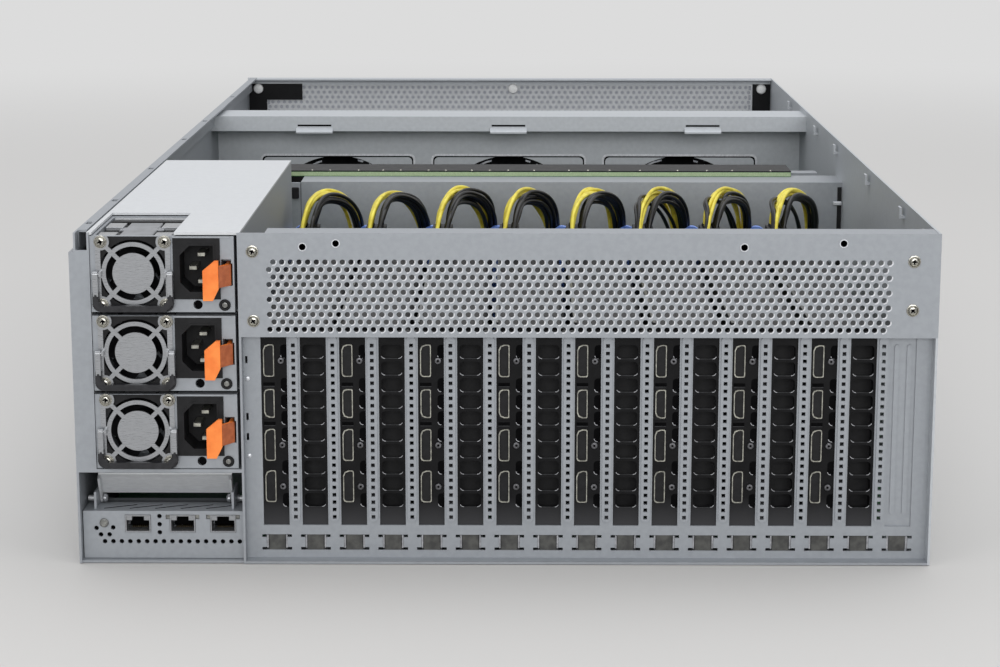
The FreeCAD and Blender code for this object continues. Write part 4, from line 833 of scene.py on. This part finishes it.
def bracket_tongues():
    """Grey feet of the brackets and of the cover, seen in the row of windows."""
    low, high = span("card_brackets")
    z, back, front = low[2], high[1] - bracket_sheet - 0.5, high[1] - bracket_sheet - 0.02
    form = Form()
    for i in range(slot_count):
        x = slot_x(i)
        form.index = 0
        form.block(x - 4.3, x + 4.3, back, front, z + 0.6, z + 10.4, 0.2)
        # Pale strips at both sides of each foot: painted highlight.
        form.index = 1
        for edge in (x - 5.0, x + 5.0):
            form.block(edge - 0.5, edge + 0.5, back, front, z + 1.9, z + 9.1, 0.15)
    form.done("bracket_tongues", [tongue_grey, glint_edge], slot="black_bracket")


def plug_dress():
    """Wire ends and ribs on the power plugs."""
    low, high = span("power_plugs")
    pin_pitch, pin_rows, row_offset = 4.6, 7, 2.8
    form = Form()
    for i in range(card_count):
        x = card_x(i) + plug_offset
        for row in range(pin_rows):
            for side in (-1, 1):
                form.turned([(1.7, -0.3), (1.7, 0.9), (1.25, 1.8)],
                            (x + side * row_offset, low[1] + 3.2 + row * pin_pitch, high[2] - 0.2), "z", 10)
        for y in (low[1] + 2, low[1] + 19):
            form.block(x - 6.5, x - 5.8, y, y + 13, high[2] - 5, high[2] - 1.5, 0.3)
    form.done("power_plug_ribs", [moulding], slot="black_plastic")


def lead_bundle(index):
    """One card's power leads: wires that rise, loop over to the right and dive behind the card."""
    low, high = span("power_plugs")
    header_top = span("lead_headers")[1][2]
    x, y, z = card_x(index) + plug_offset, (low[1] + high[1]) / 2, high[2]
    route = [(x, y, z), (x, y, z + 12), (x + 11, y + 16, z + 22), (x + 23, y + 39, z + 14),
             (x + 27, y + 59, z - 8), (x + 25, y + 67, z - 36), (x + 24, y + 69, z - 66),
             (x + 24, y + 69, header_top)]
    last = len(route) - 1
    draw = random.Random(40 + index)
    data = bpy.data.curves.new(f"lead_bundle_{index + 1}", "CURVE")
    data.dimensions = "3D"
    data.bevel_depth = 1.15 * MM
    data.bevel_resolution = 3
    data.resolution_u = 8
    data.materials.append(yellow_wire)
    data.materials.append(black_wire)
    yellows, blacks, plug_row = 8, 9, 27.6
    for k in range(yellows + blacks):
        yellow = k < yellows
        share_in_row = k / (yellows - 1) if yellow else (k - yellows) / (blacks - 1)
        start_x, start_y = (-2.8 if yellow else 2.8), plug_row * (share_in_row - 0.5)
        nest = draw.uniform(0.0, 1.0)
        lift = -7.0 * nest + draw.uniform(-1.0, 1.0) + (1.5 if yellow else 0.0)
        reach = -5.5 * nest + draw.uniform(-1.5, 1.5)
        sideways = (-3.5, -1.0, 2.5) if yellow else (1.0, 4.0, 5.0)
        if index >= 5 and yellows <= k < yellows + 2:    # two black wires that keep to the left
            sideways, start_x = (-13.0, -9.0, -3.0), -4.6
        across = draw.uniform(-3.0, 3.0) + (6.0 if yellow else -3.5)
        turn = draw.uniform(0, 2 * math.pi)
        line = data.splines.new("NURBS")
        line.points.add(last)
        line.material_index = 0 if yellow else 1
        for j, (px, py, pz) in enumerate(route):
            if j == 0:
                place = (x + start_x, y + start_y, pz - 0.4)
            elif j == 1:
                bend = draw.uniform(-0.8, 2.2) if yellow else draw.uniform(0.0, 3.5)
                place = (x + start_x + bend, y + start_y * 0.8, pz + 0.6 * lift)
            elif j <= 4:
                stray = draw.uniform(-1.6, 1.6)
                place = (px + reach * (0.4 + 0.15 * j) + sideways[j - 2] + (stray if j > 2 else 0.0),
                         py + across + start_y * (0.4 - 0.1 * j), pz + lift * (1.3 - 0.2 * j) + 0.5 * stray)
            else:
                ring, angle = (3.4 if j < last else 2.6), turn + j / last * 2
                place = (px + ring * math.cos(angle), py + ring * math.sin(angle), pz)
            line.points[j].co = [v * MM for v in place] + [1.0]
        line.order_u = 3
        line.use_endpoint_u = True
    bundle = placed(f"lead_bundle_{index + 1}", data)
    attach(bundle, "chassis")
    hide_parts("power_leads")


# ---- rear module -------------------------------------------------------------
def jack_dress():
    """Shield lips, contact combs and the painted shade at the backs of the network jacks."""
    face = span("module_tray")[0][1]
    lip, pins, pin_pitch = 0.6, 8, 1.03

    def mouth(x, inset):
        x0, x1, z0, z1 = x - jack_half + inset, x + jack_half - inset, jack_low + inset, jack_high - inset
        return [(x0, face - 0.3, z0), (x1, face - 0.3, z0), (x1, face - 0.3, z1), (x0, face - 0.3, z1)]

    form = Form()
    for x in jack_places:
        form.index = 0
        form.frame(mouth(x, 0.0), mouth(x, lip), (0, 1.6, 0))
        for step in (x - 4.6, x + 4.6):
            form.block(step - 1.5, step + 1.5, face + 0.2, face + 1.2,
                       jack_high - 3.0, jack_high - 0.5, 0.15)
        # Black block in the jack's depth: painted shade.
        form.index = 2
        form.block(x - 5.9, x + 5.9, face + 11.0, face + 13.0, jack_low + lip, jack_high - lip)
        form.index = 1
        for pin in range(pins):
            px = x - 3.6 + pin * pin_pitch
            form.block(px - 0.2, px + 0.2, face + 6.4, face + 10.5, jack_low + 0.9, jack_low + 1.4)
    form.done("jack_shields", [bright, gold, painted_shade_black], "io_module", "bright_steel")


def jack_lamps():
    """Smoked lamps at both sides of the last two jacks."""
    face = span("module_tray")[0][1]
    form = Form()
    for x in lamp_places():
        form.block(x - 1.1, x + 1.1, face + 0.5, face + 2.5, 22.7, 24.9, 0.2)
    form.done("jack_lamps", [lens], "io_module", "grey_plastic")


def tray_dress():
    """Dark behind the tray's breather holes and in its slanted slots, and the strip behind the slots."""
    low, high = span("module_tray")
    face = low[1]
    near, far = face + 1.5, face + 1.8
    slot_length, slot_step, slot_places = 18.0, 13.4, 5
    form = Form()
    form.block(low[0] + 3, high[0] - 3, near, far, 6.5, 14.4)
    form.block(low[0] + 3, low[0] + 17, near, far, 12.0, 20.5)
    form.block(-182.4, -178.4, near, far, 13.0, 26.0 - sheet)
    slant = Matrix.Rotation(math.radians(24), 3, "Z")
    for k in range(slot_places):
        x = -211.0 + slot_step * k
        form.block(x, x + slot_length, face + 8.3, face + 9.7, module_top - 1.1, module_top - 0.12,
                   turn=slant)
        form.block(x + 0.4, x + slot_length - 0.4, face + 7.8, face + 8.2, module_top - 0.4,
                   module_top + 0.05, turn=slant)
    form.done("module_tray_shade", [painted_shade_black], "io_module", "black_plastic")
    bar("module_top_strip", steel, (low[0] + 7.5, high[0] - 7.5, face + 17.8, face + 25.5,
                                    module_top - sheet, module_top, 0.2), "galvanised_sheet", "io_module")


def handle_dress():
    """Rivet heads and collars on the handle's pins, at both sides of each leg."""
    low, high = span("module_tray")
    y, z, ear = low[1] + 16.0, 29.6, 5.3
    collar = ((1.9, 2.9), (2.3, 3.2), (2.3, 4.4), (1.6, 5.2))
    rivet = ((2.1, -0.1), (2.3, -0.5), (2.3, -1.4), (1.9, -1.7))
    form = Form()
    for x, way in ((low[0] + ear, 1), (high[0] - ear, -1)):
        for profile in (collar, rivet):
            form.turned([(radius, run * way) for radius, run in profile], (x, y, z), "x", 18)
    form.done("handle_collars", [bright], "module_handle", "bright_steel", smooth=True)


# ---- inside ------------------------------------------------------------------
def power_board_dress():
    """Solder joints along the power board's edge, and the board's sawn edge."""
    low, high = span("power_distribution_board")
    top = span("power_board_cover")[1][2]
    draw = random.Random(7)
    x = low[0] + 9
    places = []
    while x < high[0] - 8:
        places.append((x, low[1] + 1.8, top))
        x += draw.uniform(11.0, 26.0)
    studs("power_board_joints", [(0.9, 0.0), (0.8, 0.4), (0.3, 0.6)], places, screw, "bright_steel", "z", 10)
    bar("power_board_edge", pale_laminate, (low[0] + 0.2, high[0] - 0.2, low[1] - 0.08, low[1] + 0.4,
                                            low[2] + 0.3, high[2] - 0.1, 0.05), "circuit_board")


def holder_dress():
    """Raised disc on each card holder's round head."""
    low, high = span("card_holders")
    y, z = low[1] + 0.02, high[2] - 6.2
    studs("card_holder_faces", [(4.6, 0.0), (4.2, -0.25), (2.2, -0.3)],
          [(card_x(i) + holder_offset, y, z) for i in range(card_count)], blue, "blue_plastic", sides=22)


def fan_cages():
    """Corner pads and finger grilles of the case fans, the grilles' black rings also standing in for the
    shade deep in the fans, and the fan wall's ridges in painted highlight and its painted shadow lines.
    """
    low, high = span("case_fan_frames")
    wall = low[1] - sheet
    beam_low, beam_high = span("fan_wall")
    tab_face, tab_z = beam_low[1] + 4.0, beam_high[2] - 7.4
    pads, ridges, shades, grilles = Form(), Form(), Form(), Form()
    for x, tab_x in zip(case_fans, fan_wall_tabs):
        for sx, sz in ((-1, -1), (-1, 1), (1, -1), (1, 1)):
            pads.turned([(3.4, 0.0), (3.4, -0.6), (1.4, -0.9)],
                        (x + sx * 52.5, low[1] + 38.0, case_fan_z + sz * 52.5), sides=14)
        ridges.frame(window(x, 118.0, 4, wall - 0.7), window(x, 115.0, 3, wall - 0.7), (0, 0.75, 0))
        shades.frame(window(x, 114.9, 3, wall - 0.25), window(x, 113.0, 3, wall - 0.25), (0, 0.3, 0))
        shades.block(tab_x - 12.5, tab_x + 12.5, tab_face - 0.1, tab_face + 0.3, tab_z, tab_z + 1.3)
        # Black rings of the finger grilles, which also stand in for the shade deep in the fan.
        for ring in range(7):
            inner = 12.0 + ring * 6.6
            grilles.frame(*(arc(x, case_fan_z, radius, 0, 350, 35, high[1] - 1.6)
                            for radius in (inner + 5.2, inner)), (0, 1.2, 0))
    pads.done("case_fan_pads", [moulding], slot="black_plastic")
    ridges.done("fan_window_ridges", [highlight_edge], slot="galvanised_sheet")
    shades.done("fan_wall_shadow_lines", [painted_shade_black], slot="black_plastic")
    grilles.done("case_fan_grilles", [moulding], slot="black_plastic")


def window(x, size, radius, y):
    """Outline of a square window with rounded corners, round a case fan's axis."""
    return rounded(x, case_fan_z, size, size, (radius,) * 4, y, 3)


def heat_sink_screws():
    """Spring screws at the heat sinks' corners."""
    low, high = span("heat_sinks")
    places = [(x, y, low[2] + 8) for x in (low[0] + 5, low[0] + 85, high[0] - 85, high[0] - 5)
              for y in (low[1] + 5, high[1] - 5)]
    studs("heat_sink_screws", [(2.6, 0.0), (2.6, 5.0), (1.7, 5.5), (1.7, 9.0), (2.8, 9.0), (2.8, 11.0),
                               (1.2, 11.6)], places, screw, "bright_steel", "z", 14)


def partition_dress():
    """Side strip of the partition, black strips of painted shade in its gaps, and its clip in painted
    highlight, beside the bay wall and the right wall.
    """
    low, high = span("mid_partition")
    face, right, top = low[1], high[0] - 0.4, high[2]
    bay_edge = span("psu_bay_wall")[1][0]
    bar("partition_side_strip", steel,
        (bay_edge - 8.0, bay_edge - 1.6, face, face + sheet, 119.0, top - 0.5, 0.2), "galvanised_sheet")
    # Black strips where the gaps are: painted shade.
    gaps = Form()
    gaps.block(bay_edge - 7.2, bay_edge - 2.6, face - 2.2, face - 0.05, 139.5, 147.0, 0.4)
    gaps.block(right - 2.8, right, face - 0.7, face - 0.05, 60.0, top - 3.0, 0.2)
    gaps.done("partition_gap_shade_strips", [moulding], slot="black_plastic")
    # Clip in the pale finish of painted highlight.
    bar("partition_clip", highlight_edge, (right - 5.8, right, face - 3.2, face - 0.8, 135.8, 138.2, 0.4),
        "galvanised_sheet")


# ---- camera, light and table -------------------------------------------------
def view_camera():
    """Long-lens camera behind the server and a little above it, almost square on to the rear."""
    camera = bpy.data.cameras.new("camera")
    camera.sensor_width = 36.0
    camera.lens = 85.0
    camera.clip_start = 0.05
    yaw, pitch, roll = -0.00716622, 0.203766749, 0.00040596
    look = Vector((math.sin(yaw) * math.cos(pitch), math.cos(yaw) * math.cos(pitch), -math.sin(pitch)))
    right = Vector((math.cos(yaw), -math.sin(yaw), 0))
    up = right.cross(look)
    right, up = math.cos(roll) * right + math.sin(roll) * up, math.cos(roll) * up - math.sin(roll) * right
    holder = placed("camera", camera)
    holder.matrix_world = Matrix((right, up, -look)).transposed().to_4x4()
    holder.location = Vector((6.3, -1594.0, 367.8)) * MM
    bpy.context.scene.camera = holder


def softbox(name, place, aim, size, power, tint="#FFFFFF"):
    """Square area lamp that points at a spot."""
    lamp = bpy.data.lights.new(name, "AREA")
    lamp.shape = "RECTANGLE"
    lamp.size, lamp.size_y = size
    lamp.energy = power
    lamp.color = linear(tint)[:3]
    holder = placed(name, lamp)
    holder.location = place
    holder.rotation_euler = (Vector(aim) - Vector(place)).to_track_quat("-Z", "Y").to_euler()


def either(tree, *rays):
    """Shader value that is 1 for rays of any of these kinds."""
    eye = add(tree, "ShaderNodeLightPath")
    seen = eye.outputs[rays[0]]
    for ray in rays[1:]:
        both = add(tree, "ShaderNodeMath", {"operation": "MAXIMUM"}, {0: seen, 1: eye.outputs[ray]})
        seen = both.outputs[0]
    return seen


def table():
    """Pale matt table that fades into the background."""
    finish, tree, shader, place = surface("pale_matt_table", "#CCCAC7", 0.8)
    reach = add(tree, "ShaderNodeVectorMath", {"operation": "LENGTH"}, {0: place})
    fade = add(tree, "ShaderNodeMapRange",
               {"interpolation_type": "SMOOTHSTEP", "From Min": 0.75, "From Max": 2.6},
               {"Value": reach.outputs["Value"]})
    share = add(tree, "ShaderNodeMath", {"operation": "MULTIPLY"},
                {0: fade.outputs["Result"], 1: either(tree, "Is Camera Ray", "Is Glossy Ray")})
    backdrop = add(tree, "ShaderNodeEmission", {"Color": linear(background), "Strength": 1.0})
    blend = add(tree, "ShaderNodeMixShader", {},
                {0: share.outputs[0], 1: shader.outputs[0], 2: backdrop.outputs[0]})
    tree.links.new(blend.outputs[0], tree.nodes["Material Output"].inputs["Surface"])
    mesh = bmesh.new()
    bmesh.ops.create_grid(mesh, x_segments=8, y_segments=8, size=9.0)
    data = bpy.data.meshes.new("table_top")
    mesh.to_mesh(data)
    mesh.free()
    data.materials.append(finish)
    top = placed("table_top", data)
    top.location = (0, 0, -0.0004)


def studio_light():
    """Even light from a pale world that is seen as the background, and four soft lamps."""
    world = bpy.data.worlds.new("studio")
    bpy.context.scene.world = world
    world.use_nodes = True
    sky = world.node_tree
    sky.nodes.clear()
    seen = add(sky, "ShaderNodeBackground", {"Color": linear(background), "Strength": 1.0})
    lit = add(sky, "ShaderNodeBackground", {"Color": linear("#F2F4F7"), "Strength": 0.62})
    clear = either(sky, "Is Camera Ray", "Is Glossy Ray", "Is Transmission Ray")
    mixed = add(sky, "ShaderNodeMixShader", {}, {0: clear, 1: lit.outputs[0], 2: seen.outputs[0]})
    add(sky, "ShaderNodeOutputWorld", {}, {"Surface": mixed.outputs[0]})
    softbox("top_softbox", (0.1, 0.1, 2.6), (0, 0, 0), (3.0, 3.0), 42.0, "#FBFCFF")
    softbox("rear_left_fill", (-2.2, -2.4, 1.9), (0, -0.3, 0.1), (1.6, 1.6), 10.0)
    softbox("rear_right_fill", (2.4, -2.0, 1.6), (0, -0.3, 0.1), (1.4, 1.4), 8.0)
    softbox("low_rear_panel", (0.2, -3.7, 1.05), (0, 0.1, 0.1), (2.4, 1.0), 42.0)
    bpy.context.scene.view_settings.view_transform = "Standard"


# ---- assembly ----------------------------------------------------------------
vent_panel()
slot_ribs()
module_face()
front_sheet()
panel_screws()
for number in supply_numbers:
    supply(number)
for index in range(card_count):
    card_dress(index)
    lead_bundle(index)
bracket_tongues()
plug_dress()
jack_dress()
tray_dress()
jack_lamps()
handle_dress()
power_board_dress()
holder_dress()
fan_cages()
heat_sink_screws()
partition_dress()
view_camera()
table()
studio_light()
